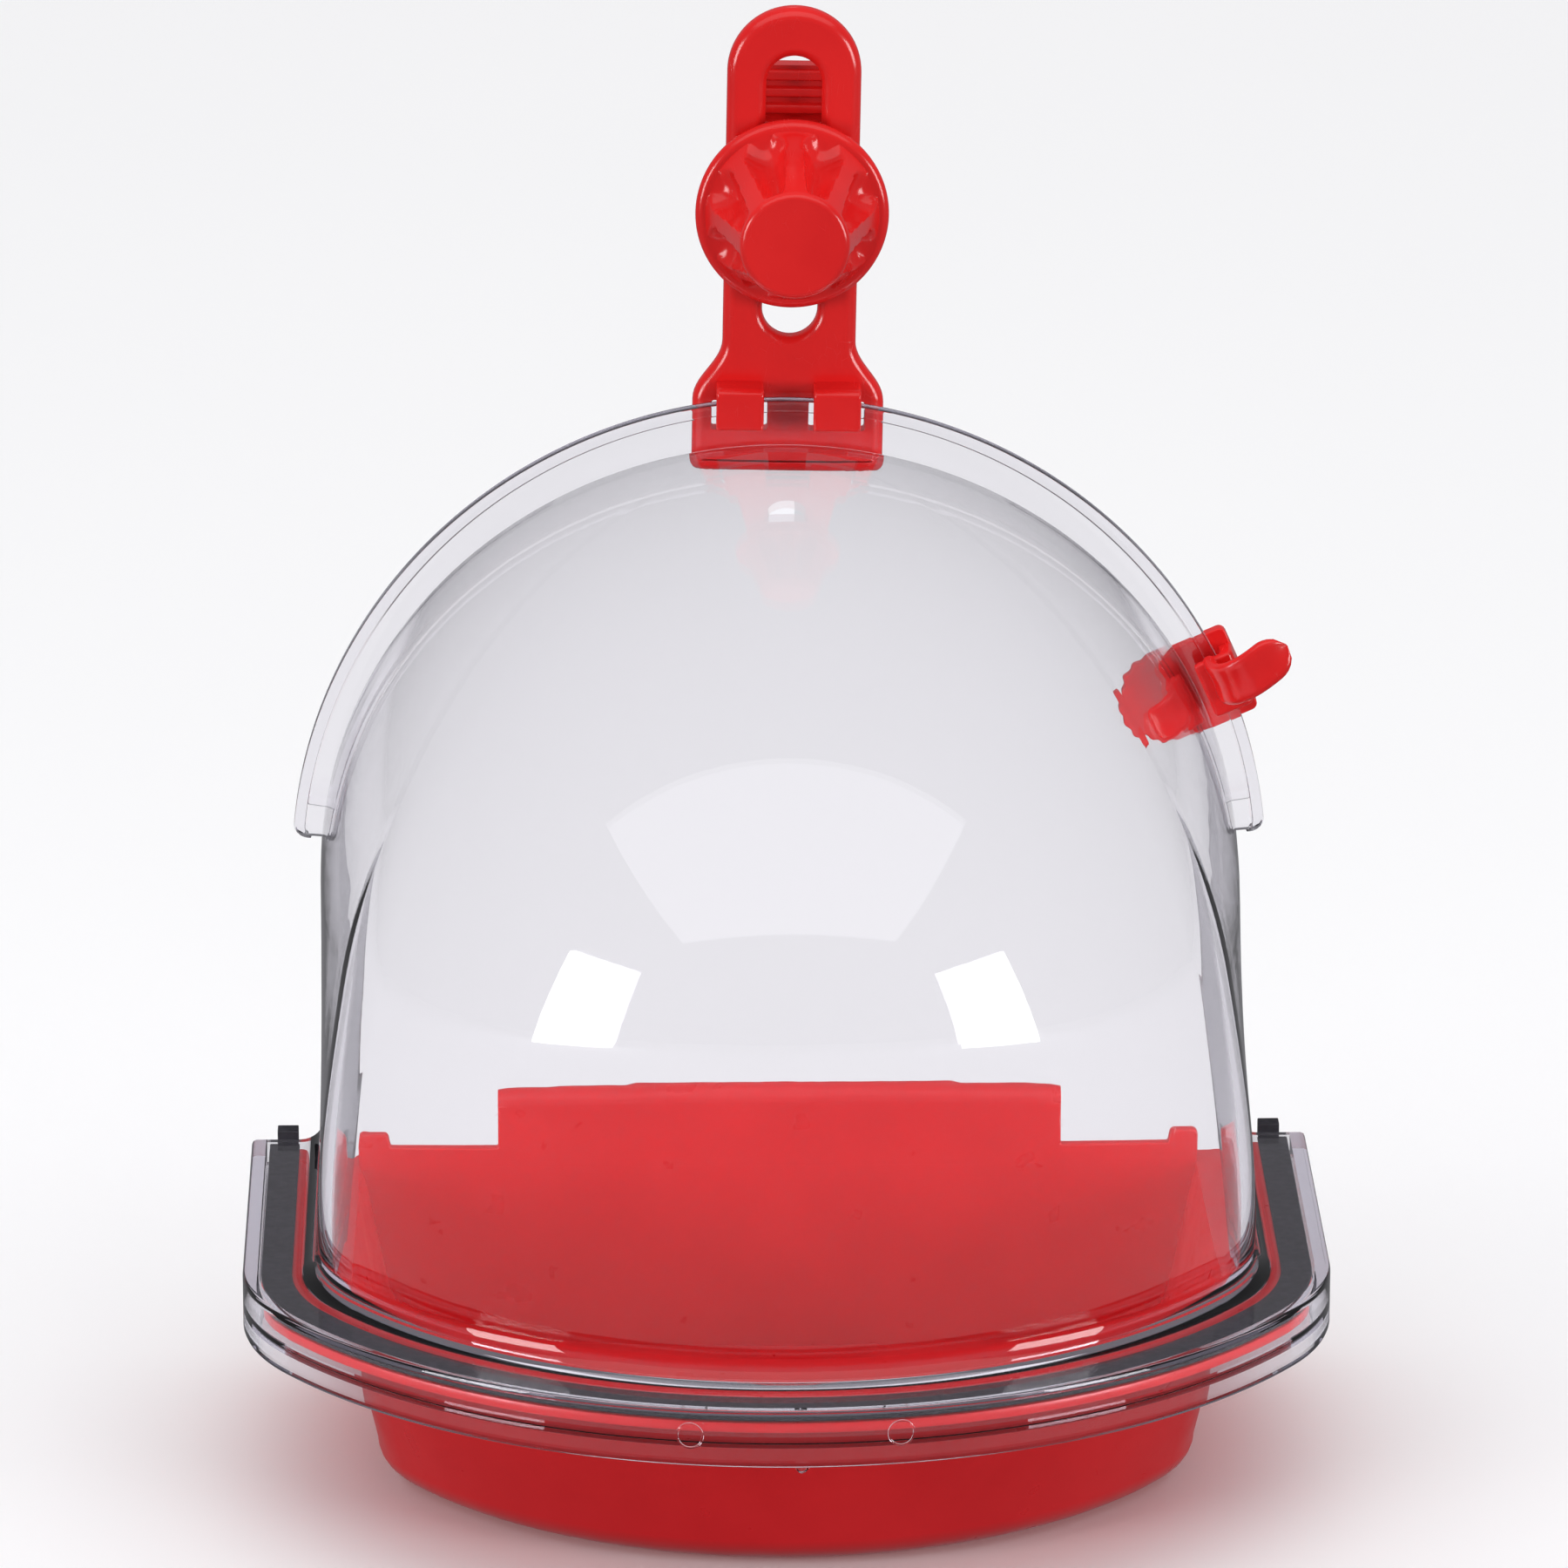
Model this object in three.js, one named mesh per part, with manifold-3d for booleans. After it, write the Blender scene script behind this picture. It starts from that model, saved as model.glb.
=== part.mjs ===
// A hooded cage waterer: a clear hood that hangs on a cage's wires and carries a red drinking tray.
// Millimetres, +Z up. The hood's convex side faces -Y and its open side, against the cage, faces +Y.
import * as THREE from "three";
import { mergeVertices } from "three/addons/utils/BufferGeometryUtils.js";
import Module from "manifold-3d";

const wasm = await Module();
wasm.setup();

// Frame: heights below are measured from the skirt's lower edge, depths from the hood's flat back.
const TRAY_BELOW = 24; // the cup's flat bottom lies this far below the skirt
const ORIGIN_BEHIND = 50; // from the box's middle to the hood's flat back

// Base outline, a D with its flat side against the cage
const HALF_WIDTH = 76;
const DEPTH = 108.5;
const SIDE_LENGTH = 52;
const CORNER_R = 35;
const CORNER_X = HALF_WIDTH - CORNER_R;
const FRONT_R =
  (CORNER_X ** 2 + (DEPTH - SIDE_LENGTH) ** 2 - CORNER_R ** 2) / (2 * (DEPTH - SIDE_LENGTH - CORNER_R));
const FRONT_Y = FRONT_R - DEPTH;
const TANGENT_ANGLE = Math.atan2(FRONT_Y + SIDE_LENGTH, CORNER_X); // where corner and front arcs meet
const SIDE_STEPS = 3;
const CORNER_STEPS = 5;
const FRONT_STEPS = 7;
const PAST_BACK = 9; // cutting shapes reach this far behind the flat back

// Hood
const SKIRT_HEIGHT = 8.4;
const DECK_UNDER = 7;
const SKIRT_WALL = 2.2;
const LIP_TOP = 4;
const LIP_UNDER = 2.4;
const LIP_INSET = 5.5;
const DOME_INSET = 10.5;
const DOME_WALL = 2;
const DOME_FILLET = 3.5;
const ARCH_Z = 49.8;
const DOME_RISE = 63;
const WALL_LAYERS = 5;
const DOME_LAYERS = 13;
const DOME_TOP_ANGLE = THREE.MathUtils.degToRad(88);
const ROUND_FROM = 14; // between these heights the dome's outline turns from a D into an ellipse
const ROUND_TO = 88;
const RAIL_R = 69.6;
const RAIL_INNER = 61.6;
const RAIL_THICKNESS = 1.6;
const RAIL_BEAD = 1.6;
const BEAD_THICKNESS = 2.6;
const RAIL_END = THREE.MathUtils.degToRad(4.5);
const STOP_INNER = 64.2;
const STOP_OUTER = 68.8;
const STOP_FROM = THREE.MathUtils.degToRad(8.4);
const STOP_TO = THREE.MathUtils.degToRad(12.4);

// Tray
const TRAY_GAP = 0.4;
const TRAY_FLANGE_Z = 4.3;
const TRAY_FLANGE = 1.6;
const CUP_INSET = 13.5;
const CUP_TAPER = 5;
const CUP_EDGE_R = 6;
const CUP_WALL = 1.8;
const CUP_BACK = -3;
const BACK_WALL_TOP = 8.8;
const FLANGE_BELOW = -1; // the back wall is joined to the cup this far down
const BACK_WALL_HALF = 62.2;
const CORNER_BUMP = 2; // half the width and the height of the bumps at the back wall's top corners
const PERCH_HALF = 40.5;
const PERCH_R = 2.1;
const PERCH_TOP = 17.3;

// Gasket
const GASKET_Z = 6.15;
const GASKET_THICKNESS = 0.6;
const GASKET_WIDTH = 4.3;
const GASKET_END_TOP = 9.6;
const GASKET_END_X = 70.8;
const GASKET_END_HALF = 1.5;

// Hanger bracket, which stands a little clockwise of the arch's top
const HANGER_TURN = 1.1; // degrees
const PLATE_BACK = 3.3;
const PLATE_FRONT = 0.3;
const PLATE_HALF = 9.4;
const PLATE_TOP = 175.5;
const PLATE_BOTTOM = 107;
const FOOT_HALF = 13.5;
const FOOT_TOP = 118.2;
const FLARE_TOP = 127;
const FLARE_PULL = 3.4;
const SLOT_R = 3.9;
const SLOT_LOW = 131.8;
const SLOT_HIGH = 164.6;
const TAB_X = [-10.2, 3.5];
const TAB_WIDTH = 6.7;
const TAB_FRONT = -4.5;
const TAB_INNER = -2.9;
const TAB_LOW = 115.4;
const TAB_LEDGE_LOW = 120;
const TAB_LEDGE_TOP = 121.5;
const WINDOW_MARGIN = 0.6;
const WINDOW_LOW = 114.5;
const WINDOW_HIGH = 118.6;

// Wire clamp
const CLAMP_Z = 146.4;
const CLAMP_FRONT = 3.7;
const CLAMP_BACK = 7.3;
const CLAMP_HALF = 8;
const CLAMP_TOP = 166.4;
const CLAMP_LOW = 137.4;
const RIDGE_PITCH = 2.4;
const RIDGE_DEPTH = 0.8;
const BOLT_R = 3;
const BOLT_TIP = -13;
const BOLT_HEAD_R = 5.2;
const BOLT_HEAD_BACK = 8.5;
const INSERT_R = 4.6;
const INSERT_LENGTH = 8;
const INSERT_SETBACK = 1.2;
const FIT = 0.3;
const KNOB_BACK = 0;
const KNOB_LENGTH = 19;
const KNOB_RIM_R = 13.6;
const KNOB_FACE_R = 7.2;
const FLUTES = 8;

// Side clip, on the rail at the viewer's right
const CLIP_ANGLE = THREE.MathUtils.degToRad(23.8);
const CLIP_TAB_HALF = 4.2;
const CLIP_FOOT_HALF = 6.6;
const CLIP_OUTER = 72;
const CLIP_TAB_INNER = 66.1;
const FINGER_HALF = 3;
const FINGER_HALF_THICKNESS = 1.4;
const FINGER_ROUTE = [
  [-1.4, TAB_FRONT + 1, 68.4],
  [-0.9, TAB_FRONT - 7.6, 69.4],
  [-3, TAB_FRONT - 5.6, 77],
];
const GRIP_R = 6.6;
const GRIP_CENTRE = 60;
const GRIP_SCALLOPS = 9;

const material = (color, roughness, extra = {}) =>
  new THREE.MeshStandardMaterial({ color, roughness, metalness: 0, ...extra });
const clear = material(0xe4e1ec, 0.05, { transparent: true, opacity: 0.35 });
const red = material(0xdc2a2c, 0.3);
const satinRed = material(0xc4222c, 0.45);
const black = material(0x1c1a1e, 0.75);
const steel = material(0xb9bcc0, 0.35, { metalness: 1 });
const brass = material(0xb98d3f, 0.35, { metalness: 1 });

// A closed geometry as a manifold-3d solid.
function solid(geometry) {
  const bare = geometry.index ? geometry.toNonIndexed() : geometry.clone();
  bare.deleteAttribute("normal");
  bare.deleteAttribute("uv");
  const merged = mergeVertices(bare, 1e-4);
  const triVerts = new Uint32Array(merged.index.array);
  return new wasm.Manifold(
    new wasm.Mesh({ numProp: 3, vertProperties: merged.attributes.position.array, triVerts }),
  );
}

// A body turned clockwise about the arch's centre, in degrees, as seen from the front.
function aboutArch(body, degrees) {
  return body.translate([0, 0, -ARCH_Z]).rotate([0, degrees, 0]).translate([0, 0, ARCH_Z]);
}

// A named mesh from a manifold-3d solid.
function piece(name, body, finish) {
  const made = body.getMesh();
  const positions = new Float32Array(made.numVert * 3);
  for (let i = 0; i < made.numVert; i++) {
    positions.set(made.vertProperties.subarray(i * made.numProp, i * made.numProp + 3), i * 3);
  }
  const geometry = new THREE.BufferGeometry();
  geometry.setAttribute("position", new THREE.BufferAttribute(positions, 3));
  geometry.setIndex(new THREE.BufferAttribute(new Uint32Array(made.triVerts), 1));
  const flat = geometry.toNonIndexed();
  flat.computeVertexNormals();
  const mesh = new THREE.Mesh(flat, finish);
  mesh.name = name;
  return mesh;
}

// The base outline moved inwards by inset, with its flat side at back.
function baseOutline(inset, back = 0) {
  const half = HALF_WIDTH - inset;
  const shape = new THREE.Shape();
  shape.moveTo(-half, back);
  shape.lineTo(-half, -SIDE_LENGTH);
  shape.absarc(-CORNER_X, -SIDE_LENGTH, CORNER_R - inset, Math.PI, Math.PI + TANGENT_ANGLE);
  shape.absarc(0, FRONT_Y, FRONT_R - inset, Math.PI + TANGENT_ANGLE, 2 * Math.PI - TANGENT_ANGLE);
  shape.absarc(CORNER_X, -SIDE_LENGTH, CORNER_R - inset, -TANGENT_ANGLE, 0);
  shape.lineTo(half, back);
  shape.closePath();
  return shape;
}

// A flat shape given height from low to high.
function slab(shape, low, high, curveSegments = 5) {
  const options = { depth: high - low, bevelEnabled: false, curveSegments };
  return solid(new THREE.ExtrudeGeometry(shape, options).translate(0, 0, low));
}

// A shape drawn in X and Z, given thickness from back towards the front.
function upright(shape, back, front, curveSegments = 6) {
  const options = { depth: back - front, bevelEnabled: false, curveSegments };
  return solid(new THREE.ExtrudeGeometry(shape, options).rotateX(Math.PI / 2).translate(0, back, 0));
}

// The base outline as points, from its left rear end round the front to its right rear end.
function outlinePoints(inset) {
  const half = HALF_WIDTH - inset;
  const left = [];
  for (let i = 0; i < SIDE_STEPS; i++) {
    left.push([-half, (-SIDE_LENGTH * i) / SIDE_STEPS]);
  }
  for (let i = 0; i < CORNER_STEPS; i++) {
    const turn = Math.PI + (TANGENT_ANGLE * i) / CORNER_STEPS;
    const radius = CORNER_R - inset;
    left.push([-CORNER_X + radius * Math.cos(turn), -SIDE_LENGTH + radius * Math.sin(turn)]);
  }
  for (let i = 0; i < FRONT_STEPS; i++) {
    const turn = Math.PI + TANGENT_ANGLE + ((Math.PI / 2 - TANGENT_ANGLE) * i) / FRONT_STEPS;
    const radius = FRONT_R - inset;
    left.push([radius * Math.cos(turn), FRONT_Y + radius * Math.sin(turn)]);
  }
  const right = left.map(([x, y]) => [-x, y]).reverse();
  return [...left, [0, inset - DEPTH], ...right];
}

// A closed ring at a height: the outline, scaled about the middle of its flat side, with that side at back.
function scaledRing(inset, scale, z, back = 0) {
  const ring = outlinePoints(inset).map(([x, y]) => [x * scale, y * scale, z]);
  ring[0][1] = back;
  ring[ring.length - 1][1] = back;
  return ring;
}

// A closed ring of the dome: the base outline low down, which turns into an ellipse higher up.
function domeRing(inset, scale, z, back = 0) {
  const part = THREE.MathUtils.smoothstep(z, ROUND_FROM, ROUND_TO);
  const ring = outlinePoints(inset).map(([x, y]) => {
    const far = Math.hypot(x, y);
    const ellipse = far / Math.hypot(x / (HALF_WIDTH - inset), y / (DEPTH - inset));
    const reach = (scale * ((1 - part) * far + part * ellipse)) / far;
    return [x * reach, y * reach, z];
  });
  ring[0][1] = back;
  ring[ring.length - 1][1] = back;
  return ring;
}

// A solid through closed convex rings of equal length, from the lowest to the highest.
function loft(rings) {
  const size = rings[0].length;
  const last = (rings.length - 1) * size;
  const index = [];
  for (let i = 1; i < size - 1; i++) {
    index.push(0, i + 1, i, last, last + i, last + i + 1);
  }
  for (let k = 0; k < last; k += size) {
    for (let i = 0; i < size; i++) {
      const j = (i + 1) % size;
      index.push(k + i, k + j, k + size + j, k + i, k + size + j, k + size + i);
    }
  }
  const geometry = new THREE.BufferGeometry();
  geometry.setAttribute("position", new THREE.Float32BufferAttribute(rings.flat(2), 3));
  geometry.setIndex(index);
  return solid(geometry);
}

function box(x0, x1, y0, y1, z0, z1) {
  const geometry = new THREE.BoxGeometry(x1 - x0, y1 - y0, z1 - z0);
  return solid(geometry.translate((x0 + x1) / 2, (y0 + y1) / 2, (z0 + z1) / 2));
}

// A cylinder or prism along Y.
function rod(radius, back, front, sides = 24) {
  const geometry = new THREE.CylinderGeometry(radius, radius, back - front, sides);
  return solid(geometry.translate(0, (back + front) / 2, 0));
}

// A sector of a ring about the arch's centre, in X and Z.
function ringSector(inner, outer, from, to, back, front, curveSegments = 16) {
  const shape = new THREE.Shape();
  shape.absarc(0, 0, outer, from, to);
  shape.absarc(0, 0, inner, to, from, true);
  shape.closePath();
  return upright(shape, back, front, curveSegments).translate([0, 0, ARCH_Z]);
}

// The dome's rings: an optional fillet at the foot, an upright wall, then a quarter ellipse to the top.
function domeRings(inset, foot, rise, fillet, back) {
  const rings = [];
  const filletSteps = fillet > 0 ? 4 : 0;
  for (let i = 0; i < filletSteps; i++) {
    const turn = (i / filletSteps) * (Math.PI / 2);
    const outwards = fillet * (1 - Math.sin(turn));
    rings.push(domeRing(inset - outwards, 1, foot + fillet * (1 - Math.cos(turn)), back));
  }
  for (let i = 0; i < WALL_LAYERS; i++) {
    const low = foot + fillet;
    rings.push(domeRing(inset, 1, low + ((ARCH_Z - low) * i) / WALL_LAYERS, back));
  }
  for (let i = 0; i <= DOME_LAYERS; i++) {
    const turn = (i / DOME_LAYERS) * DOME_TOP_ANGLE;
    rings.push(domeRing(inset, Math.cos(turn), ARCH_Z + rise * Math.sin(turn), back));
  }
  return rings;
}

function makeHood() {
  const base = slab(baseOutline(0), 0, SKIRT_HEIGHT)
    .subtract(slab(baseOutline(SKIRT_WALL, PAST_BACK), LIP_TOP, DECK_UNDER))
    .subtract(slab(baseOutline(SKIRT_WALL, PAST_BACK), -1, LIP_UNDER))
    .subtract(slab(baseOutline(LIP_INSET, PAST_BACK), -1, DECK_UNDER));
  const dome = loft(domeRings(DOME_INSET, SKIRT_HEIGHT - 0.2, DOME_RISE, DOME_FILLET, 0));
  const innerInset = DOME_INSET + DOME_WALL;
  const hollow = loft(domeRings(innerInset, -1, DOME_RISE - DOME_WALL, 0, PAST_BACK));
  let rail = ringSector(RAIL_INNER, RAIL_R, RAIL_END, Math.PI - RAIL_END, 0, -RAIL_THICKNESS).add(
    ringSector(RAIL_R - RAIL_BEAD, RAIL_R, RAIL_END, Math.PI - RAIL_END, 0, -BEAD_THICKNESS),
  );
  for (const from of [STOP_FROM, Math.PI - STOP_TO]) {
    const to = from + STOP_TO - STOP_FROM;
    rail = rail.add(ringSector(STOP_INNER, STOP_OUTER, from, to, -0.4, -BEAD_THICKNESS - 0.8, 2));
  }
  return piece("hood", base.add(dome).add(rail).subtract(hollow), clear);
}

// The cup's outside or inside: a tapered D with a rounded lower edge and an upright back.
function cupSolid(wall, top) {
  const inset = CUP_INSET + wall;
  const half = HALF_WIDTH - inset;
  const edge = CUP_EDGE_R - wall;
  const edgeSteps = 4;
  const rings = [];
  for (let i = 0; i <= edgeSteps; i++) {
    const turn = (i / edgeSteps) * (Math.PI / 2);
    const inwards = CUP_TAPER + edge * (1 - Math.sin(turn));
    const z = wall - TRAY_BELOW + edge * (1 - Math.cos(turn));
    rings.push(scaledRing(inset, 1 - inwards / half, z, CUP_BACK - wall));
  }
  rings.push(scaledRing(inset, 1, top, CUP_BACK - wall));
  return loft(rings);
}

function makeTray() {
  const flangeInset = SKIRT_WALL + TRAY_GAP;
  const flangeTop = TRAY_FLANGE_Z + TRAY_FLANGE;
  const wallFront = CUP_BACK - CUP_WALL;
  const neck = PERCH_TOP - PERCH_R;
  const perch = new THREE.CylinderGeometry(PERCH_R, PERCH_R, 2 * PERCH_HALF, 16).rotateZ(Math.PI / 2);
  perch.translate(0, CUP_BACK + PERCH_R - CUP_WALL, neck);
  const cup = cupSolid(0, flangeTop).subtract(cupSolid(CUP_WALL, flangeTop + 1));
  const flange = slab(baseOutline(flangeInset), TRAY_FLANGE_Z, flangeTop).subtract(
    slab(baseOutline(CUP_INSET + CUP_WALL, -CUP_WALL - 3), TRAY_FLANGE_Z - 1, flangeTop + 1),
  );
  let body = cup
    .add(flange)
    .add(box(-BACK_WALL_HALF, BACK_WALL_HALF, wallFront, CUP_BACK, FLANGE_BELOW, BACK_WALL_TOP))
    .add(box(-PERCH_HALF, PERCH_HALF, wallFront, CUP_BACK, 0, neck))
    .add(solid(perch));
  for (const side of [-1, 1]) {
    const corner = side * (BACK_WALL_HALF - CORNER_BUMP);
    const across = [corner - CORNER_BUMP, corner + CORNER_BUMP];
    body = body.add(box(...across, wallFront, CUP_BACK, TRAY_FLANGE_Z, BACK_WALL_TOP + CORNER_BUMP));
  }
  return piece("tray", body, satinRed);
}

function makeGasket() {
  const outer = SKIRT_WALL + TRAY_GAP;
  const strip = slab(baseOutline(outer), GASKET_Z, GASKET_Z + GASKET_THICKNESS).subtract(
    slab(baseOutline(outer + GASKET_WIDTH, PAST_BACK), GASKET_Z - 1, GASKET_Z + 2),
  );
  let body = strip;
  for (const side of [-1, 1]) {
    const across = [side * GASKET_END_X - GASKET_END_HALF, side * GASKET_END_X + GASKET_END_HALF];
    body = body
      .add(box(...across, 0.4, 3, GASKET_Z, GASKET_END_TOP))
      .add(box(...across, -4, 1, GASKET_Z, GASKET_Z + GASKET_THICKNESS));
  }
  return piece("rim_gasket", body, black);
}

function bracketOutline() {
  const pullLow = FOOT_TOP + FLARE_PULL;
  const pullHigh = FLARE_TOP - FLARE_PULL;
  const shape = new THREE.Shape();
  const crown = PLATE_TOP - PLATE_HALF;
  shape.moveTo(FOOT_HALF, PLATE_BOTTOM);
  shape.lineTo(FOOT_HALF, FOOT_TOP);
  shape.bezierCurveTo(FOOT_HALF, pullLow, PLATE_HALF, pullHigh, PLATE_HALF, FLARE_TOP);
  shape.lineTo(PLATE_HALF, crown);
  shape.absarc(0, crown, PLATE_HALF, 0, Math.PI);
  shape.lineTo(-PLATE_HALF, FLARE_TOP);
  shape.bezierCurveTo(-PLATE_HALF, pullHigh, -FOOT_HALF, pullLow, -FOOT_HALF, FOOT_TOP);
  shape.lineTo(-FOOT_HALF, PLATE_BOTTOM);
  shape.closePath();
  const slot = new THREE.Path();
  slot.absarc(0, SLOT_HIGH, SLOT_R, 0, Math.PI);
  slot.absarc(0, SLOT_LOW, SLOT_R, Math.PI, 2 * Math.PI);
  slot.closePath();
  shape.holes.push(slot);
  return shape;
}

// The hooked tab that reaches over the rail: a ledge forwards, then a lip downwards.
function hookTab(x, width, ledgeLow, ledgeTop, low) {
  const ledge = box(x, x + width, TAB_FRONT, PLATE_FRONT + 0.5, ledgeLow, ledgeTop);
  return ledge.add(box(x, x + width, TAB_FRONT, TAB_INNER, low, ledgeTop));
}

function makeBracket() {
  let body = upright(bracketOutline(), PLATE_BACK, PLATE_FRONT);
  for (const x of TAB_X) {
    const window = [x - WINDOW_MARGIN, x + TAB_WIDTH + WINDOW_MARGIN];
    body = body
      .subtract(box(...window, -1, PLATE_BACK + 1, WINDOW_LOW, WINDOW_HIGH))
      .add(hookTab(x, TAB_WIDTH, TAB_LEDGE_LOW, TAB_LEDGE_TOP, TAB_LOW));
  }
  return piece("hanger_bracket", aboutArch(body, HANGER_TURN), red);
}

function makeClampPlate() {
  let body = box(-CLAMP_HALF, CLAMP_HALF, CLAMP_FRONT + RIDGE_DEPTH, CLAMP_BACK, CLAMP_LOW, CLAMP_TOP);
  const height = CLAMP_TOP - CLAMP_LOW;
  const ridges = Math.floor(height / RIDGE_PITCH);
  for (let i = 0; i < ridges; i++) {
    const low = CLAMP_LOW + (i + 0.25) * RIDGE_PITCH;
    body = body.add(
      box(-CLAMP_HALF, CLAMP_HALF, CLAMP_FRONT, CLAMP_FRONT + 1, low, low + RIDGE_PITCH / 2),
    );
  }
  const bore = rod(BOLT_R + FIT, CLAMP_BACK + 1, CLAMP_FRONT - 1).translate([0, 0, CLAMP_Z]);
  const seat = rod(BOLT_HEAD_R + FIT, CLAMP_BACK + 1, CLAMP_BACK - 1.3).translate([0, 0, CLAMP_Z]);
  return piece("clamp_plate", aboutArch(body.subtract(bore).subtract(seat), HANGER_TURN), red);
}

function makeBolt() {
  const shank = rod(BOLT_R, BOLT_HEAD_BACK - 1, BOLT_TIP);
  const head = rod(BOLT_HEAD_R, BOLT_HEAD_BACK, CLAMP_BACK - 1);
  return piece("clamp_bolt", aboutArch(shank.add(head).translate([0, 0, CLAMP_Z]), HANGER_TURN), steel);
}

// The round threaded insert in the knob.
function makeInsert() {
  const back = KNOB_BACK - INSERT_SETBACK;
  const sleeve = rod(INSERT_R, back, back - INSERT_LENGTH);
  const bore = rod(BOLT_R + FIT, back + 1, back - INSERT_LENGTH - 1);
  const body = sleeve.subtract(bore).translate([0, 0, CLAMP_Z]);
  return piece("knob_insert", aboutArch(body, HANGER_TURN), brass);
}

function knobProfile() {
  const points = [
    [0, 0],
    [KNOB_RIM_R - 0.7, 0],
    [KNOB_RIM_R, 0.7],
    [KNOB_RIM_R, 1.6],
    [KNOB_RIM_R - 0.7, 2.3],
    [KNOB_RIM_R - 1.6, 2.6],
    [KNOB_RIM_R - 3.2, 6],
    [KNOB_RIM_R - 4.4, 10],
    [KNOB_RIM_R - 5.4, 15],
    [KNOB_FACE_R + 0.4, KNOB_LENGTH - 0.9],
    [KNOB_FACE_R - 0.6, KNOB_LENGTH],
    [0, KNOB_LENGTH],
  ];
  return points.map(([r, h]) => new THREE.Vector2(r, h));
}

function makeKnob() {
  const turned = new THREE.LatheGeometry(knobProfile(), 40).rotateX(Math.PI).translate(0, KNOB_BACK, 0);
  let body = solid(turned);
  for (let i = 0; i < FLUTES; i++) {
    const scoop = new THREE.SphereGeometry(1, 14, 10).scale(3.7, 7.6, 3.1);
    scoop.rotateX(THREE.MathUtils.degToRad(-14)).translate(0, KNOB_BACK - 10.6, 12.6);
    scoop.rotateY(((i + 0.5) / FLUTES) * 2 * Math.PI);
    body = body.subtract(solid(scoop));
  }
  const seatEnd = KNOB_BACK - INSERT_SETBACK - INSERT_LENGTH - FIT;
  const seat = rod(INSERT_R + FIT, KNOB_BACK + 1, seatEnd);
  const bore = rod(BOLT_R + FIT, KNOB_BACK + 1, BOLT_TIP - 2);
  body = body.subtract(seat).subtract(bore).translate([0, 0, CLAMP_Z]);
  return piece("clamp_knob", aboutArch(body, HANGER_TURN), red);
}

// The clip is drawn with the rail's radius along Z at X = 0, then turned about the arch's centre.
function makeSideClip() {
  const foot = box(-CLIP_FOOT_HALF, CLIP_FOOT_HALF, PLATE_FRONT, PLATE_FRONT + 2, GRIP_CENTRE, CLIP_OUTER);
  const tab = hookTab(-CLIP_TAB_HALF, 2 * CLIP_TAB_HALF, RAIL_R + 0.5, CLIP_OUTER, CLIP_TAB_INNER);
  let grip = rod(GRIP_R, PLATE_FRONT + 2, PLATE_FRONT, 36).translate([0, 0, GRIP_CENTRE]);
  for (let i = 0; i < GRIP_SCALLOPS; i++) {
    const turn = Math.PI * (1 + (i + 0.5) / GRIP_SCALLOPS);
    const offset = [GRIP_R * Math.cos(turn), 0, GRIP_CENTRE + GRIP_R * Math.sin(turn)];
    grip = grip.subtract(rod(0.7, PLATE_FRONT + 3, PLATE_FRONT - 1, 10).translate(offset));
  }
  const points = FINGER_ROUTE.map((point) => new THREE.Vector3(...point));
  const route = new THREE.QuadraticBezierCurve3(...points);
  const section = new THREE.Shape();
  section.absellipse(0, 0, FINGER_HALF, FINGER_HALF_THICKNESS, 0, 2 * Math.PI);
  const finger = new THREE.ExtrudeGeometry(section, { steps: 10, extrudePath: route, curveSegments: 6 });
  const tip = new THREE.SphereGeometry(1, 16, 10).scale(FINGER_HALF, FINGER_HALF_THICKNESS, FINGER_HALF - 0.8);
  tip.translate(...FINGER_ROUTE[2]);
  const body = foot.add(tab).add(grip).add(solid(finger)).add(solid(tip));
  const turn = 90 - THREE.MathUtils.radToDeg(CLIP_ANGLE);
  return piece("side_clip", body.rotate([0, turn, 0]).translate([0, 0, ARCH_Z]), red);
}

const waterer = new THREE.Group();
waterer.position.set(0, ORIGIN_BEHIND, TRAY_BELOW);
waterer.add(makeHood(), makeTray(), makeGasket(), makeBracket(), makeClampPlate());
waterer.add(makeBolt(), makeInsert(), makeKnob(), makeSideClip());

export default waterer;
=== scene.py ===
"""Looks of a hooded cage waterer: a clear hood with an arched rail, a red tray, a hanging bracket and a side clip.

Shapes are drawn in millimetres in the hood's own frame: x to the viewer's right, y away from the viewer with 0 on
the hood's flat back, z up with 0 on the skirt's lower edge. settle() moves them into the row frame, in metres.
"""

import math

import bmesh
import bpy
from mathutils import Matrix, Vector, noise
from mathutils.geometry import tessellate_polygon


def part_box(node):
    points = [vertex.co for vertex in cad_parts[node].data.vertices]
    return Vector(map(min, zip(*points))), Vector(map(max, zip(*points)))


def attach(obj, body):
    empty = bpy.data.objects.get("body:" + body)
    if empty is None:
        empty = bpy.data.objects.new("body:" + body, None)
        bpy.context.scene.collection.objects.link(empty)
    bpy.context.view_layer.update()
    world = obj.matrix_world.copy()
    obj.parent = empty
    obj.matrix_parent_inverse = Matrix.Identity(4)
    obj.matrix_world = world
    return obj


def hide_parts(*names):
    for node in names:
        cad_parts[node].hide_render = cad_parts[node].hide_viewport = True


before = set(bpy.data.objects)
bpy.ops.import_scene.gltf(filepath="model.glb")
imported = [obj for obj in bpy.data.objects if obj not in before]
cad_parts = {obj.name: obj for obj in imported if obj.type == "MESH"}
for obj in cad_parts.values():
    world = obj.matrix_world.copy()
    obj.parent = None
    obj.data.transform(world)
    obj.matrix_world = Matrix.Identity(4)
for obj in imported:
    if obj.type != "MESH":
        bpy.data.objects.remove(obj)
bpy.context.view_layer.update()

hood_low, hood_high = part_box("hood")
ROW = Matrix.Translation((0, hood_high.y, hood_low.z)) @ Matrix.Scale(0.001, 4)

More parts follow.
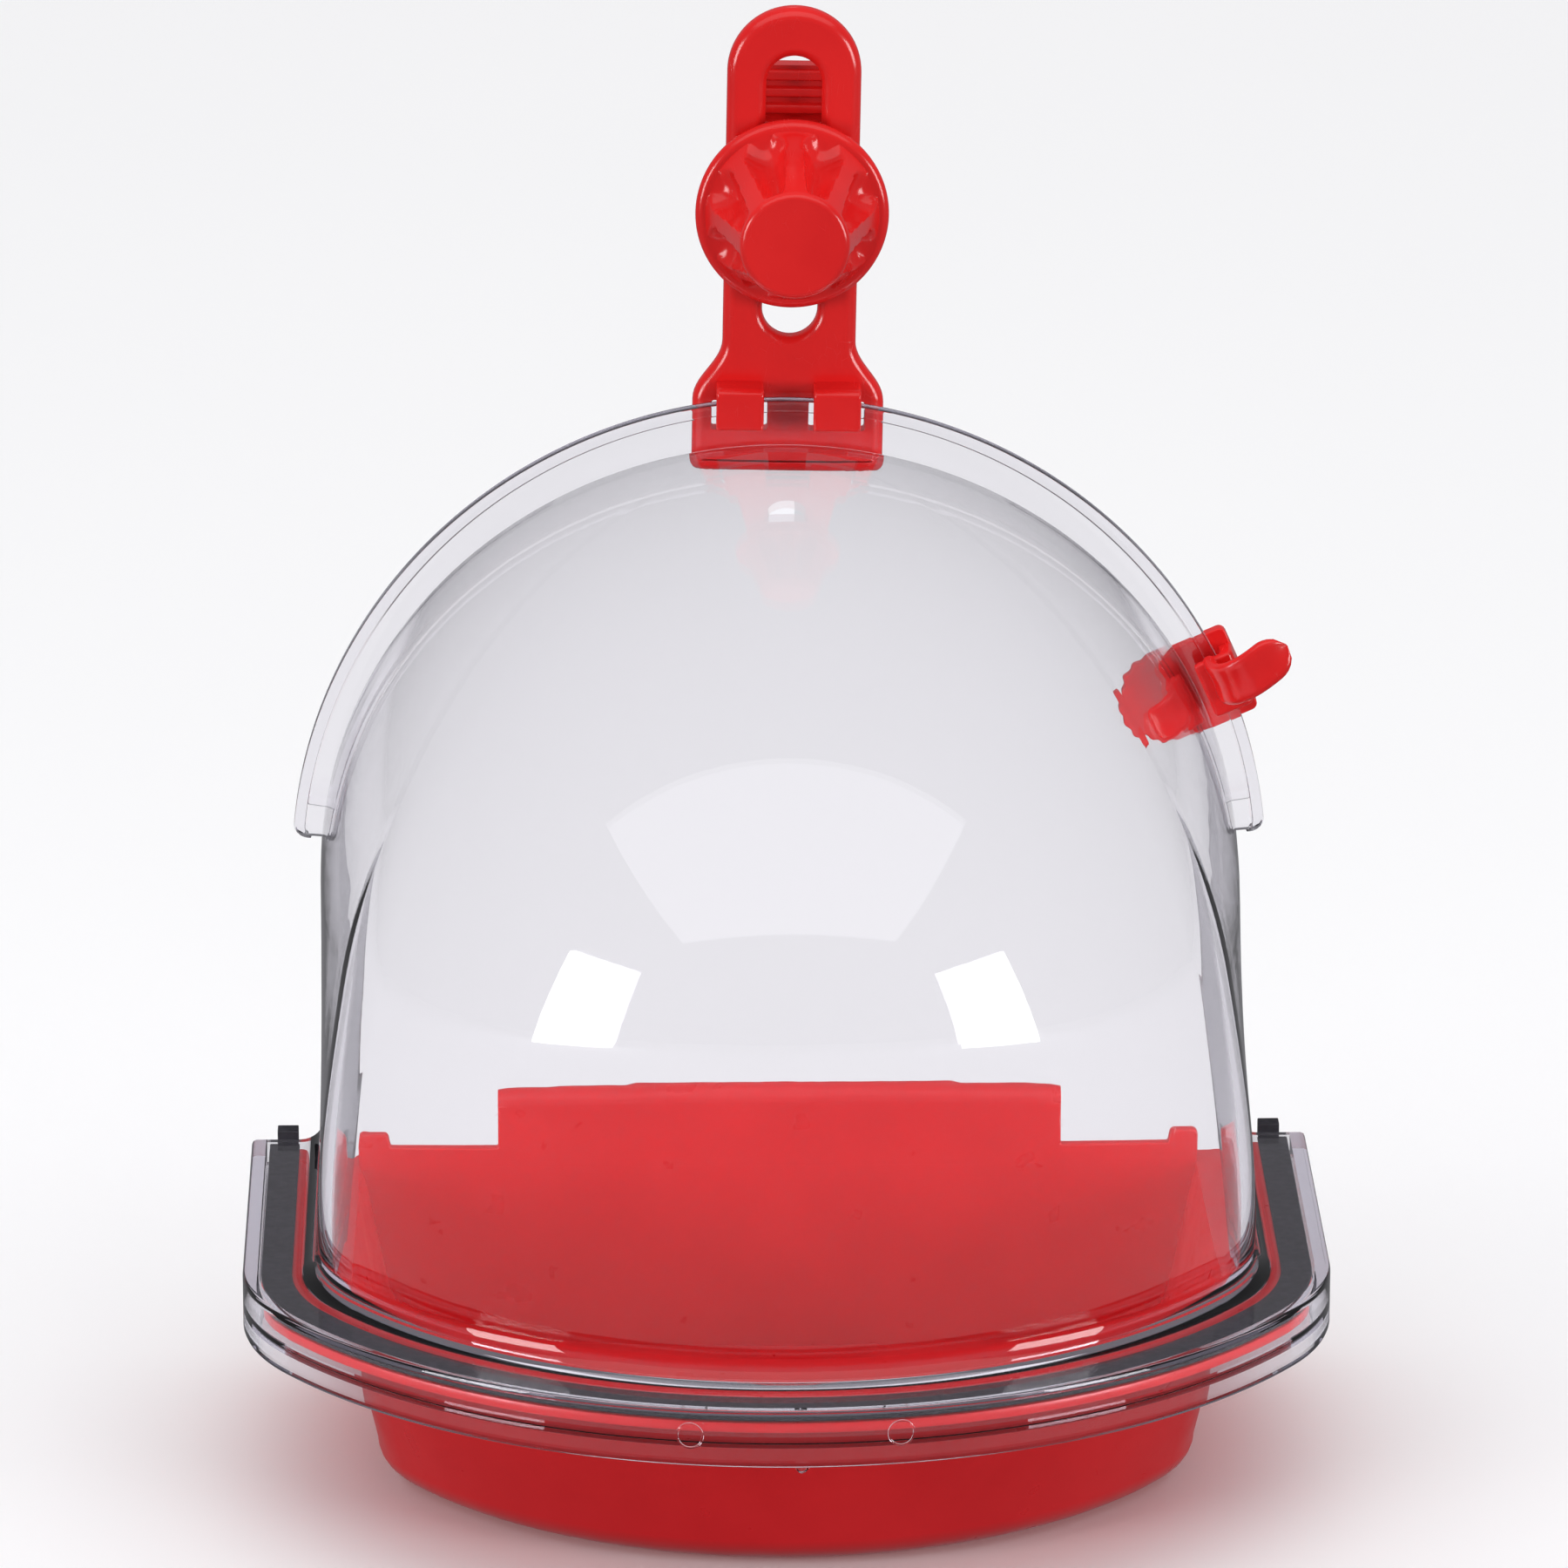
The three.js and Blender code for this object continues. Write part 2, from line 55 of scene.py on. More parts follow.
# Base outline: a D with its flat side at the back
HALF_WIDTH = 76.0
DEPTH = 108.5
SIDE_LENGTH = 52.0
CORNER_R = 35.0
CORNER_X = HALF_WIDTH - CORNER_R
FRONT_SPAN = DEPTH - SIDE_LENGTH
FRONT_R = (CORNER_X**2 + FRONT_SPAN**2 - CORNER_R**2) / (2 * (FRONT_SPAN - CORNER_R))
FRONT_Y = FRONT_R - DEPTH
TANGENT = math.atan2(FRONT_Y + SIDE_LENGTH, CORNER_X)
SIDE_STEPS, CORNER_STEPS, FRONT_STEPS = 8, 22, 30

# Hood. Profiles are (inset from the base outline, height), and the rail's section is (radius, y).
SKIRT_HEIGHT = 8.4
SKIRT_WALL, SKIRT_BEVEL = 2.2, 0.3
SKIRT_FACE = [(0.5, 0.0), (0.15, 0.15), (0.0, 0.5), (0.0, 4.0), (0.0, 7.7), (0.2, 8.2), (0.7, SKIRT_HEIGHT)]
DECK_FROM, DECK_UNDER, DECK_BEVEL = 3.5, 7.0, 0.4
LIP_UNDER, LIP_TOP, LIP_INSET = 2.4, 4.0, 5.5
DOME_INSET, DOME_WALL = 10.5, 2.0
DOME_HOLLOW = DOME_INSET + DOME_WALL
DOME_FILLET, FILLET_STEPS = 3.5, 8
DOME_HEIGHTS = [14.0 + 2.4 * i for i in range(15)]  # of the outlines below the arch's centre
DOME_LAYERS = 44
ARCH_Z = 49.8
DOME_RISE = 63.0
ROUND_FROM, ROUND_TO = 14.0, 88.0  # between these heights the dome's outline turns from a D into an ellipse
HOLLOW_LOW, HOLLOW_BACK, HOLLOW_TURN, HOLLOW_LAYERS = 12.0, 6.0, math.radians(89), 30
RAIL_R, RAIL_INNER, RAIL_STEPS = 69.6, 61.6, 150
RAIL_END = math.radians(4.5)
RAIL_SECTION = [(RAIL_INNER, 0.0), (69.3, 0.0), (69.52, -0.08), (RAIL_R, -0.3), (RAIL_R, -2.3), (69.52, -2.52)]
RAIL_SECTION += [(69.3, -2.6), (68.3, -2.6), (68.08, -2.52), (68.0, -2.3), (67.95, -1.85), (67.7, -1.6)]
RAIL_SECTION += [(RAIL_INNER, -1.6)]
RAIL_CORNER, RAIL_ROOT = 2.0, 66.4  # each end is rounded, outside the root
RAIL_CORNER_STEPS = [0.0, 0.08, 0.3, 0.65, 1.1, 1.6, 2.0]
STOP_FROM, STOP_TO, STOP_STEPS = math.radians(8.4), math.radians(12.6), 14
STOP_HEIGHT, STOP_CREST, STOP_CURVE = 1.75, 0.16, 1.3  # the crest is a share of the ramp's length
STOP_BACK, STOP_FOOT, STOP_INNER, STOP_OUTER, STOP_BEVEL = -0.8, -1.5, 64.2, 67.95, 0.25
NIB = [(-0.9, 0.6), (-0.9, -0.2), (-0.5, -0.65), (-0.1, -0.8), (0.45, -0.6), (0.9, -0.1), (0.9, 0.6)]
NIB_X, NIB_BACK, NIB_FRONT, NIB_BEVEL = 0.9, 1.6, 0.25, 0.15
EJECTORS = ((-14.3, 4.5), (14.3, 4.7))
EJECTOR_R, EJECTOR_WIRE, EJECTOR_SINK = 1.75, 0.16, 0.02
EJECTOR_STEPS, EJECTOR_SIDES = 28, 8

# Tray
TRAY_GAP = 0.4
FLANGE_LOW, FLANGE_TOP, FLANGE_INSET = 4.3, 5.9, SKIRT_WALL + TRAY_GAP
FLANGE_EDGE, FLANGE_BEVEL = 0.5, 0.15
CUP_INSET, CUP_TAPER, CUP_EDGE_R, CUP_WALL = 13.5, 5.0, 6.0, 1.8
CUP_BOTTOM = -24.0
CUP_BACK = -3.0
CUP_EDGE_STEPS = 8
WALL_TOP, WALL_SIDE_GAP = 8.8, 3
WALL_LOW = CUP_BOTTOM + CUP_EDGE_R + 2
EAR_WIDTH, EAR_RISE, EAR_LOW = 4, 2, 2.0
PERCH_HALF, PERCH_R, PERCH_TOP = 40.5, 2.1, 17.3
PERCH_NECK = PERCH_TOP - PERCH_R
PERCH_STEPS, PERCH_SIDES, PERCH_UNEVEN = 60, 28, 0.03
PERCH_END_SIZES = {0: 0.86, 1: 0.97}  # the outermost rings are smaller, which rounds the ends

# Gasket
GASKET_LOW, GASKET_TOP, GASKET_WIDTH, GASKET_BEVEL = 6.15, 6.75, 4.3, 0.12
GASKET_END_X, GASKET_END_HALF, GASKET_END_TOP = 70.8, 1.5, 9.6

# Bracket and clamp
PLATE_BACK, PLATE_FRONT = 3.3, 0.3
PLATE_HALF, PLATE_TOP, PLATE_BOTTOM = 9.4, 175.5, 107.0
PLATE_SIDE_HEIGHTS = (134.0, 142.0, 150.0, 158.0)
FOOT_HALF, FOOT_TOP, FLARE_TOP = 13.5, 118.2, 127.0
FOOT_R, FLARE_PULL, FLARE_STEPS = 1.3, 3.4, 14
SLOT_R, SLOT_LOW, SLOT_HIGH = 3.9, 131.8, 164.6
TAB_X, TAB_WIDTH = (-10.2, 3.5), 6.7
TAB_FRONT, TAB_INNER, TAB_LOW = -4.5, -2.9, 115.4
TAB_ROOT = PLATE_FRONT + 0.9
WINDOW_LOW, WINDOW_TOP, WINDOW_GAP, WINDOW_R = 114.5, 118.6, 0.6, 0.35
LEDGE_LOW, LEDGE_TOP = 120.0, 121.5
HANGER_TURN = math.radians(1.1)  # clockwise about the arch's centre, seen from the front
CLAMP_Z = 146.4
CLAMP_FRONT, CLAMP_BACK, CLAMP_HALF = 3.7, 7.3, 8.0
CLAMP_LOW, CLAMP_TOP = 137.4, 166.4
RIDGE_PITCH, RIDGE_DEPTH = 2.4, 0.8
RIDGE = ((1.45, RIDGE_DEPTH), (1.2, 0.12), (1.05, 0.0), (0.15, 0.0), (0.0, 0.12), (-0.25, RIDGE_DEPTH))
BORE_R, SINK_R, SINK_MOUTH_R = 3.3, 5.5, 5.9
BOLT_R = 3.0
BOLT_HEAD = [(0, 8.5), (2.4, 8.42), (3.9, 8.15), (4.8, 7.7), (5.15, 7.2), (5.2, 6.6), (5.0, 6.3), (BOLT_R, 6.3)]
THREAD_PITCH, THREAD_DEPTH, THREAD_FROM, THREAD_TO = 1.0, 0.45, 3.0, -11.6
BOLT_END = [(BOLT_R - 0.7, -12.8), (BOLT_R - 1.0, -13.0), (0, -13.0)]
INSERT_BACK, INSERT_LENGTH, INSERT_R, INSERT_BORE_R = -1.2, 8.0, 4.6, 3.3
INSERT_GROOVE, INSERT_BEVEL, INSERT_BANDS = 0.35, 0.3, 4
KNOB_LENGTH, KNOB_RIM_R, KNOB_FACE_R = 19.0, 13.6, 7.2
KNOB_RIM = [(0, 0), (12.7, 0), (13.3, -0.22), (13.55, -0.6), (KNOB_RIM_R, -1.1), (13.5, -1.7), (13.1, -2.15)]
KNOB_RIM += [(12.5, -2.4)]
KNOB_FACE = [(KNOB_FACE_R + 0.36, -KNOB_LENGTH + 0.55), (KNOB_FACE_R + 0.05, -KNOB_LENGTH + 0.2)]
KNOB_FACE += [(KNOB_FACE_R - 0.5, -KNOB_LENGTH), (0, -KNOB_LENGTH)]
KNOB_SEAT = [(0, 1), (4.9, 1), (4.9, -9.5), (3.3, -9.5), (3.3, -15), (0, -15)]
CONE_R, CONE_NARROWS, CONE_CURVE = 12.2, 4.5, 0.8
CONE_FROM, CONE_SHORT, CONE_STEPS = 2.4, 3.6, 44
FLUTES, FLUTE_STEPS = 8, 28
SCOOP_WIDTH, SCOOP_NARROWS = 0.78, 0.26  # shares of half a flute, wide at the rim and narrow at the face
SCOOP_DEPTH, SCOOP_SHALLOWS, SCOOP_CURVE = 2.9, 0.9, 0.75
SCOOP_ROUND, SCOOP_RUNOUT = 0.22, 0.3  # shares of the cone's length at the scoop's two ends

# Side clip
CLIP_TURN = math.radians(66.2)
CLIP_FOOT_HALF, CLIP_TAB_HALF = 6.6, 4.2
CLIP_OUTER, CLIP_TAB_INNER, CLIP_LEDGE_LOW, CLIP_DEPTH = 72.0, 66.1, 70.1, 2
GRIP_R, GRIP_CENTRE, GRIP_SCALLOPS, GRIP_WAVE, GRIP_STEPS = 6.6, 60.0, 9, 0.18, 8
FINGER_ROUTE = [(-1.4, TAB_FRONT + 1.2, 68.4), (-1.2, TAB_FRONT - 3.4, 68.2), (-0.9, TAB_FRONT - 6.4, 69.8)]
FINGER_ROUTE += [(-1.7, TAB_FRONT - 6.8, 74.6), (-3.6, TAB_FRONT - 5.4, 79.8)]
FINGER_HALF, FINGER_HALF_THICKNESS, FINGER_HOLLOW = 3.2, 1.45, 0.55
FINGER_STEPS, FINGER_SIDES = 30, 28
TIP_SHARE, TIP_LEAST, TIP_LEAST_THICKNESS = 0.16, 0.06, 0.4

FINE = math.radians(0.05)  # faces this nearly level are joined on the smooth curved pieces


# ---------------------------------------------------------------- mesh tools, in millimetres


def solid(name, verts, faces):
    """A closed mesh object. Points that fall together become one, and faces that collapse are left out."""
    index, points, used = {}, [], []
    for v in verts:
        key = tuple(round(c, 4) for c in v)
        if key not in index:
            index[key] = len(points)
            points.append(v)
        used.append(index[key])
    kept = []
    for face in faces:
        ring = [used[i] for i in face]
        ring = [a for a, b in zip(ring, ring[1:] + ring[:1]) if a != b]
        if len(ring) > 2 and len(set(ring)) == len(ring):
            kept.append(ring)
    mesh = bpy.data.meshes.new(name)
    mesh.from_pydata([tuple(p) for p in points], [], kept)
    bm = bmesh.new()
    bm.from_mesh(mesh)
    bmesh.ops.recalc_face_normals(bm, faces=bm.faces)
    bm.to_mesh(mesh)
    bm.free()
    made = bpy.data.objects.new(name, mesh)
    bpy.context.scene.collection.objects.link(made)
    return made


def loft(name, rings):
    """A solid through closed rings of equal length, capped at both ends."""
    size = len(rings[0])
    faces = [list(range(size)), list(range((len(rings) - 1) * size, len(rings) * size))]
    for k in range(len(rings) - 1):
        for i in range(size):
            j = (i + 1) % size
            faces.append([k * size + i, k * size + j, (k + 1) * size + j, (k + 1) * size + i])
    return solid(name, [v for ring in rings for v in ring], faces)


def sweep(name, lines, capped=True):
    """A solid whose closed section runs along lines of equal length. capped closes its two ends with flat faces."""
    size, count = len(lines[0]), len(lines)
    faces = []
    if capped:
        faces += [[i * size for i in range(count)], [i * size + size - 1 for i in range(count)]]
    for i in range(count):
        k = (i + 1) % count
        for j in range(size - 1):
            faces.append([i * size + j, i * size + j + 1, k * size + j + 1, k * size + j])
    return solid(name, [v for line in lines for v in line], faces)


def bake(thing):
    """Applies the modifiers of thing to its mesh."""
    graph = bpy.context.evaluated_depsgraph_get()
    mesh = bpy.data.meshes.new_from_object(thing.evaluated_get(graph))
    old = thing.data
    thing.modifiers.clear()
    thing.data = mesh
    bpy.data.meshes.remove(old)


def combine(thing, other, operation):
    """Joins other to thing (UNION) or cuts it out of thing (DIFFERENCE), and uses other up."""
    step = thing.modifiers.new("combine", "BOOLEAN")
    step.operation = operation
    step.solver = "MANIFOLD"
    step.object = other
    bake(thing)
    bpy.data.meshes.remove(other.data)
    return thing


def clean(thing, merge=0.002, flat=math.radians(0.4)):
    """Merges points that nearly meet and joins flat neighbours, after booleans."""
    bm = bmesh.new()
    bm.from_mesh(thing.data)
    bmesh.ops.remove_doubles(bm, verts=bm.verts, dist=merge)
    bmesh.ops.dissolve_degenerate(bm, edges=bm.edges, dist=merge)
    bmesh.ops.dissolve_limit(
        bm, angle_limit=flat, verts=bm.verts, edges=bm.edges, use_dissolve_boundaries=False
    )
    bm.to_mesh(thing.data)
    bm.free()
    return thing


def settle(thing, body, nodes, material, sharp=38):
    """Moves a finished piece into the row frame, smooths its shading and says what it stands for."""
    thing.data.transform(ROW)
    mesh = thing.data
    mesh.shade_smooth()
    mesh.set_sharp_from_angle(angle=math.radians(sharp))
    step = thing.modifiers.new("weighted normals", "WEIGHTED_NORMAL")
    step.keep_sharp = True
    step.weight = 60
    bake(thing)
    thing.data.materials.clear()
    thing.data.materials.append(material)
    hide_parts(*nodes)
    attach(thing, body)
    return thing


def d_line(inset, back=0.0):
    """The base outline moved inwards by inset, from its left rear end round the front to its right rear end."""
    half = HALF_WIDTH - inset
    left = []
    for i in range(SIDE_STEPS):
        left.append((-half, back - (SIDE_LENGTH + back) * i / SIDE_STEPS))
    for i in range(CORNER_STEPS):
        turn = math.pi + TANGENT * i / CORNER_STEPS
        radius = CORNER_R - inset
        left.append((-CORNER_X + radius * math.cos(turn), -SIDE_LENGTH + radius * math.sin(turn)))
    for i in range(FRONT_STEPS):
        turn = math.pi + TANGENT + (math.pi / 2 - TANGENT) * i / FRONT_STEPS
        radius = FRONT_R - inset
        left.append((radius * math.cos(turn), FRONT_Y + radius * math.sin(turn)))
    middle = [(0.0, -DEPTH + inset)]
    return left + middle + [(-x, y) for x, y in reversed(left)]


def at(line, z, scale=1.0):
    """An outline at a height, drawn in or out by scale."""
    return [(x * scale, y * scale, z) for x, y in line]


def dome_line(inset, z, scale=1.0, back=0.0):
    """The dome's outline at a height: the base outline low down, which turns into an ellipse higher up."""
    width, depth = HALF_WIDTH - inset, DEPTH - inset
    share = min(1.0, max(0.0, (z - ROUND_FROM) / (ROUND_TO - ROUND_FROM)))
    share = share * share * (3 - 2 * share)
    line = []
    for x, y in d_line(inset):
        far = math.hypot(x, y)
        ellipse = 1 / math.hypot(x / far / width, y / far / depth)
        reach = ((1 - share) * far + share * ellipse) / far * scale
        line.append((x * reach, y * reach, z))
    if back:
        line[0] = (line[0][0], back, z)
        line[-1] = (line[-1][0], back, z)
    return line


def arc(cx, cz, radius, start, end, steps):
    """Points on an arc, angles in degrees, both ends included."""
    turns = [math.radians(start + (end - start) * i / steps) for i in range(steps + 1)]
    return [(cx + radius * math.cos(t), cz + radius * math.sin(t)) for t in turns]


def rounded(corners, radius, steps=4):
    """A closed polygon with its corners rounded. radius is one number, or one per corner."""
    radii = radius if isinstance(radius, (list, tuple)) else [radius] * len(corners)
    out = []
    for i, (corner, r) in enumerate(zip(corners, radii)):
        here = Vector(corner)
        before = (Vector(corners[i - 1]) - here).normalized()
        after = (Vector(corners[(i + 1) % len(corners)]) - here).normalized()
        opening = before.angle(after)
        if r <= 0:
            out.append(tuple(here))
            continue
        reach = r / math.tan(opening / 2)
        centre = here + (before + after).normalized() * (r / math.sin(opening / 2))
        first = here + before * reach - centre
        last = here + after * reach - centre
        for k in range(steps + 1):
            direction = first.slerp(last, k / steps) if first.angle(last) > 1e-4 else first
            out.append(tuple(centre + direction.normalized() * r))
    return out


def offset_loop(points, distance):
    """A closed loop of 2-D points moved to its left by distance, mitred at corners."""
    least_share = 0.35  # keeps the mitre of a very sharp corner short
    out = []
    count = len(points)
    for i in range(count):
        here = Vector(points[i])
        before = (here - Vector(points[i - 1])).normalized()
        after = (Vector(points[(i + 1) % count]) - here).normalized()
        normal = Vector((-before.y - after.y, before.x + after.x))
        normal.normalize()
        share = max(least_share, normal.dot(Vector((-after.y, after.x))))
        out.append(tuple(here + normal * (distance / share)))
    return out


def signed_area(points):
    """The area inside a closed loop, positive where it runs anticlockwise."""
    return sum(a[0] * b[1] - b[0] * a[1] for a, b in zip(points, points[1:] + points[:1])) / 2


def plate(name, loops, back, front, place, segments=5):
    """A plate between two heights. Each loop is (points, back radius, front radius); the first is the outline and
    the rest are holes. place turns (u, v, w) into a point."""
    verts, faces = [], []
    side = 1 if front > back else -1
    ends = {"back": [], "front": []}
    for k, (points, back_r, front_r) in enumerate(loops):
        points = list(points)
        if (signed_area(points) > 0) != (k == 0):
            points.reverse()
        heights = []
        for i in range(segments + 1):
            turn = math.pi / 2 * i / segments
            heights.append((back_r * (1 - math.sin(turn)), back + side * back_r * (1 - math.cos(turn))))
        for i in range(segments + 1):
            turn = math.pi / 2 * i / segments
            heights.append((front_r * (1 - math.cos(turn)), front - side * front_r * (1 - math.sin(turn))))
        rings = []
        for distance, w in heights:
            start = len(verts)
            verts += [place(u, v, w) for u, v in offset_loop(points, distance)]
            rings.append(range(start, len(verts)))
        size = len(points)
        for a, b in zip(rings, rings[1:]):
            for i in range(size):
                j = (i + 1) % size
                faces.append([a[i], a[j], b[j], b[i]])
        ends["back"].append((offset_loop(points, back_r), rings[0]))
        ends["front"].append((offset_loop(points, front_r), rings[-1]))
    for parts in ends.values():
        flat = [i for _, ring in parts for i in ring]
        if len(parts) == 1:
            faces.append(flat)
            continue
        for triangle in tessellate_polygon([[Vector((u, v, 0)) for u, v in points] for points, _ in parts]):
            faces.append([flat[i] for i in triangle])
    return solid(name, verts, faces)


def turned(name, profile, steps, centre_z=0.0):
    """A solid of revolution about a line along Y. profile is (radius, y) from axis to axis."""
    lines = []
    for i in range(steps):
        turn = 2 * math.pi * i / steps
        lines.append([(r * math.cos(turn), y, centre_z + r * math.sin(turn)) for r, y in profile])
    return sweep(name, lines, capped=False)


def hanger_turned(thing):
    """The piece turned about the arch's centre, as the whole hanger stands."""
    back = Matrix.Translation((0, 0, ARCH_Z))
    thing.data.transform(back @ Matrix.Rotation(HANGER_TURN, 4, "Y") @ back.inverted())
    return thing


def bezier(points, t):
    """A Bezier curve's point and direction."""
    level = list(points)
    while len(level) > 2:
        level = [a.lerp(b, t) for a, b in zip(level, level[1:])]
    return level[0].lerp(level[1], t), (level[1] - level[0]).normalized()


def front_view(u, v, w):
    """A plate drawn as seen from the front: u is x, v is z and w is y."""
    return (u, w, v)


def side_view(u, v, w):
    """A plate drawn as seen from the side: u is y, v is z and w is x."""
    return (w, u, v)


# ---------------------------------------------------------------- materials


class Nodes:
    """A material's node tree, with short calls to fill it."""

    def __init__(self, name):
        self.material = bpy.data.materials.new(name)
        self.material.use_nodes = True
        self.tree = self.material.node_tree
        self.shader = self.tree.nodes["Principled BSDF"]
        self.output = self.tree.nodes["Material Output"]
        self.place = self.add("ShaderNodeTexCoord").outputs["Object"]

    def add(self, kind, **settings):
        node = self.tree.nodes.new(kind)
        for key, value in settings.items():
            setattr(node, key, value)
        return node

    def link(self, a, b):
        self.tree.links.new(a, b)

    def set(self, **values):
        for key, value in values.items():
            self.shader.inputs[key.replace("_", " ")].default_value = value

    def noise(self, scale, detail=3.0, stretch=None, seed=0.0):
        """Noise over the piece. scale is in features per metre, and stretch slows it along an axis."""
        source = self.place
        if stretch or seed:
            mapping = self.add("ShaderNodeMapping")
            mapping.inputs["Scale"].default_value = stretch or (1, 1, 1)
            mapping.inputs["Location"].default_value = (seed, seed * 0.7, -seed)
            self.link(source, mapping.inputs["Vector"])
            source = mapping.outputs["Vector"]
        node = self.add("ShaderNodeTexNoise")
        node.inputs["Scale"].default_value = scale
        node.inputs["Detail"].default_value = detail
        self.link(source, node.inputs["Vector"])
        return node.outputs["Fac"]

    def scratches(self, scale, turn, amount):
        """Fine straight scratches: the thin edges of long cells, in one direction."""
        mapping = self.add("ShaderNodeMapping")
        mapping.inputs["Rotation"].default_value = turn
        mapping.inputs["Scale"].default_value = (1, 0.06, 0.35)
        self.link(self.place, mapping.inputs["Vector"])
        cells = self.add("ShaderNodeTexVoronoi", feature="DISTANCE_TO_EDGE")
        cells.inputs["Scale"].default_value = scale
        self.link(mapping.outputs["Vector"], cells.inputs["Vector"])
        thin = self.ramp(cells.outputs["Distance"], 0.0, 0.012, 1.0, 0.0)
        patches = self.ramp(self.noise(scale * 0.25, 2.0, seed=3.1), 0.56, 0.66, 0.0, amount)
        both = self.add("ShaderNodeMath", operation="MULTIPLY")
        self.link(thin, both.inputs[0])
        self.link(patches, both.inputs[1])
        return both.outputs["Value"]

    def ramp(self, source, low, high, first, last):
        node = self.add("ShaderNodeMapRange")
        for key, value in zip(("From Min", "From Max", "To Min", "To Max"), (low, high, first, last)):
            node.inputs[key].default_value = value
        self.link(source, node.inputs["Value"])
        return node.outputs["Result"]

    def sum(self, a, b):
        node = self.add("ShaderNodeMath", operation="ADD")
        self.link(a, node.inputs[0])
        self.link(b, node.inputs[1])
        return node.outputs["Value"]

    def colour(self, factor, first, last):
        node = self.add("ShaderNodeMix", data_type="RGBA")
        node.inputs["A"].default_value = first
        node.inputs["B"].default_value = last
        self.link(factor, node.inputs["Factor"])
        return node.outputs["Result"]

    def bump(self, height, strength, distance):
        node = self.add("ShaderNodeBump")
        node.inputs["Strength"].default_value = strength
        node.inputs["Distance"].default_value = distance
        self.link(height, node.inputs["Height"])
        self.link(node.outputs["Normal"], self.shader.inputs["Normal"])


def moulded(name, base, worn, rough, coat, ripple):
    """Injection-moulded plastic: a slightly uneven colour, gloss that varies, flow ripple and fine scratches."""
    n = Nodes(name)
    cloud = n.noise(70, 4.0)
    n.link(n.colour(n.ramp(cloud, 0.35, 0.65, 0.0, 1.0), base, worn), n.shader.inputs["Base Color"])
    scratch = n.sum(n.scratches(900, (0.2, 0.1, 0.5), 1.0), n.scratches(700, (0.9, 0.3, -0.8), 1.0))
    gloss = n.ramp(n.noise(160, 3.0, seed=1.7), 0.3, 0.7, rough * 0.85, rough * 1.2)
    n.link(n.sum(gloss, n.ramp(scratch, 0, 1, 0, 0.25)), n.shader.inputs["Roughness"])
    height = n.sum(n.ramp(n.noise(260, 2.0, seed=0.6), 0, 1, 0, 1), n.ramp(scratch, 0, 1, 0, -0.5))
    n.bump(height, ripple, 0.00006)
    n.set(IOR=1.5, Coat_Weight=coat, Coat_Roughness=0.12, Subsurface_Weight=0.0)
    return n.material


def clear_material():
    """Clear moulded styrene: smooth, slightly lilac through its depth, and it lets lamps through."""
    n = Nodes("clear_styrene")
    n.set(Transmission_Weight=1.0, IOR=1.48)
    n.shader.inputs["Base Color"].default_value = (0.935, 0.93, 0.947, 1)
    haze = n.ramp(n.noise(60, 3.0), 0.4, 0.75, 0.0, 0.02)
    mark = n.ramp(n.scratches(500, (0.4, 0.2, 1.1), 1.0), 0, 1, 0, 0.12)
    n.link(n.sum(haze, mark), n.shader.inputs["Roughness"])
    n.bump(n.noise(45, 2.0, seed=0.4), 0.05, 0.0004)
    path = n.add("ShaderNodeLightPath")
    through = n.add("ShaderNodeBsdfTransparent")
    through.inputs["Color"].default_value = (0.93, 0.925, 0.94, 1)
    mix = n.add("ShaderNodeMixShader")
    n.link(path.outputs["Is Shadow Ray"], mix.inputs["Fac"])
    n.link(n.shader.outputs["BSDF"], mix.inputs[1])
    n.link(through.outputs["BSDF"], mix.inputs[2])
    n.link(mix.outputs["Shader"], n.output.inputs["Surface"])
    depth = n.add("ShaderNodeVolumeAbsorption")
    depth.inputs["Color"].default_value = (0.45, 0.40, 0.56, 1)
    depth.inputs["Density"].default_value = 60.0
    n.link(depth.outputs["Volume"], n.output.inputs["Volume"])
    return n.material


def rubber_material():
    n = Nodes("black_rubber")
    tone = n.ramp(n.noise(400, 4.0), 0.3, 0.7, 0.0, 1.0)
    n.link(n.colour(tone, (0.006, 0.005, 0.008, 1), (0.016, 0.014, 0.02, 1)), n.shader.inputs["Base Color"])
    n.link(n.ramp(n.noise(900, 2.0, seed=1.1), 0.3, 0.7, 0.55, 0.75), n.shader.inputs["Roughness"])
    n.bump(n.noise(2500, 3.0), 0.25, 0.00008)
    return n.material


def metal_material(name, base, dull, rough):
    n = Nodes(name)
    n.link(n.colour(n.ramp(n.noise(500, 4.0), 0.4, 0.7, 0, 1), base, dull), n.shader.inputs["Base Color"])
    lines = n.noise(900, 3.0, stretch=(1, 0.1, 1))
    n.link(n.ramp(lines, 0.3, 0.7, rough * 0.7, rough * 1.4), n.shader.inputs["Roughness"])
    n.bump(lines, 0.15, 0.00004)
    n.set(Metallic=1.0)
    return n.material


GLOSS_RED = moulded("gloss_red", (0.74, 0.012, 0.012, 1), (0.80, 0.016, 0.015, 1), 0.17, 0.0, 0.35)
SATIN_RED = moulded("satin_red", (0.70, 0.006, 0.010, 1), (0.75, 0.009, 0.013, 1), 0.32, 0.0, 0.4)
CLEAR = clear_material()
RUBBER = rubber_material()
STEEL = metal_material("zinc_steel", (0.62, 0.63, 0.65, 1), (0.48, 0.49, 0.50, 1), 0.32)
BRASS = metal_material("brass", (0.72, 0.52, 0.22, 1), (0.55, 0.38, 0.15, 1), 0.3)


# ---------------------------------------------------------------- hood


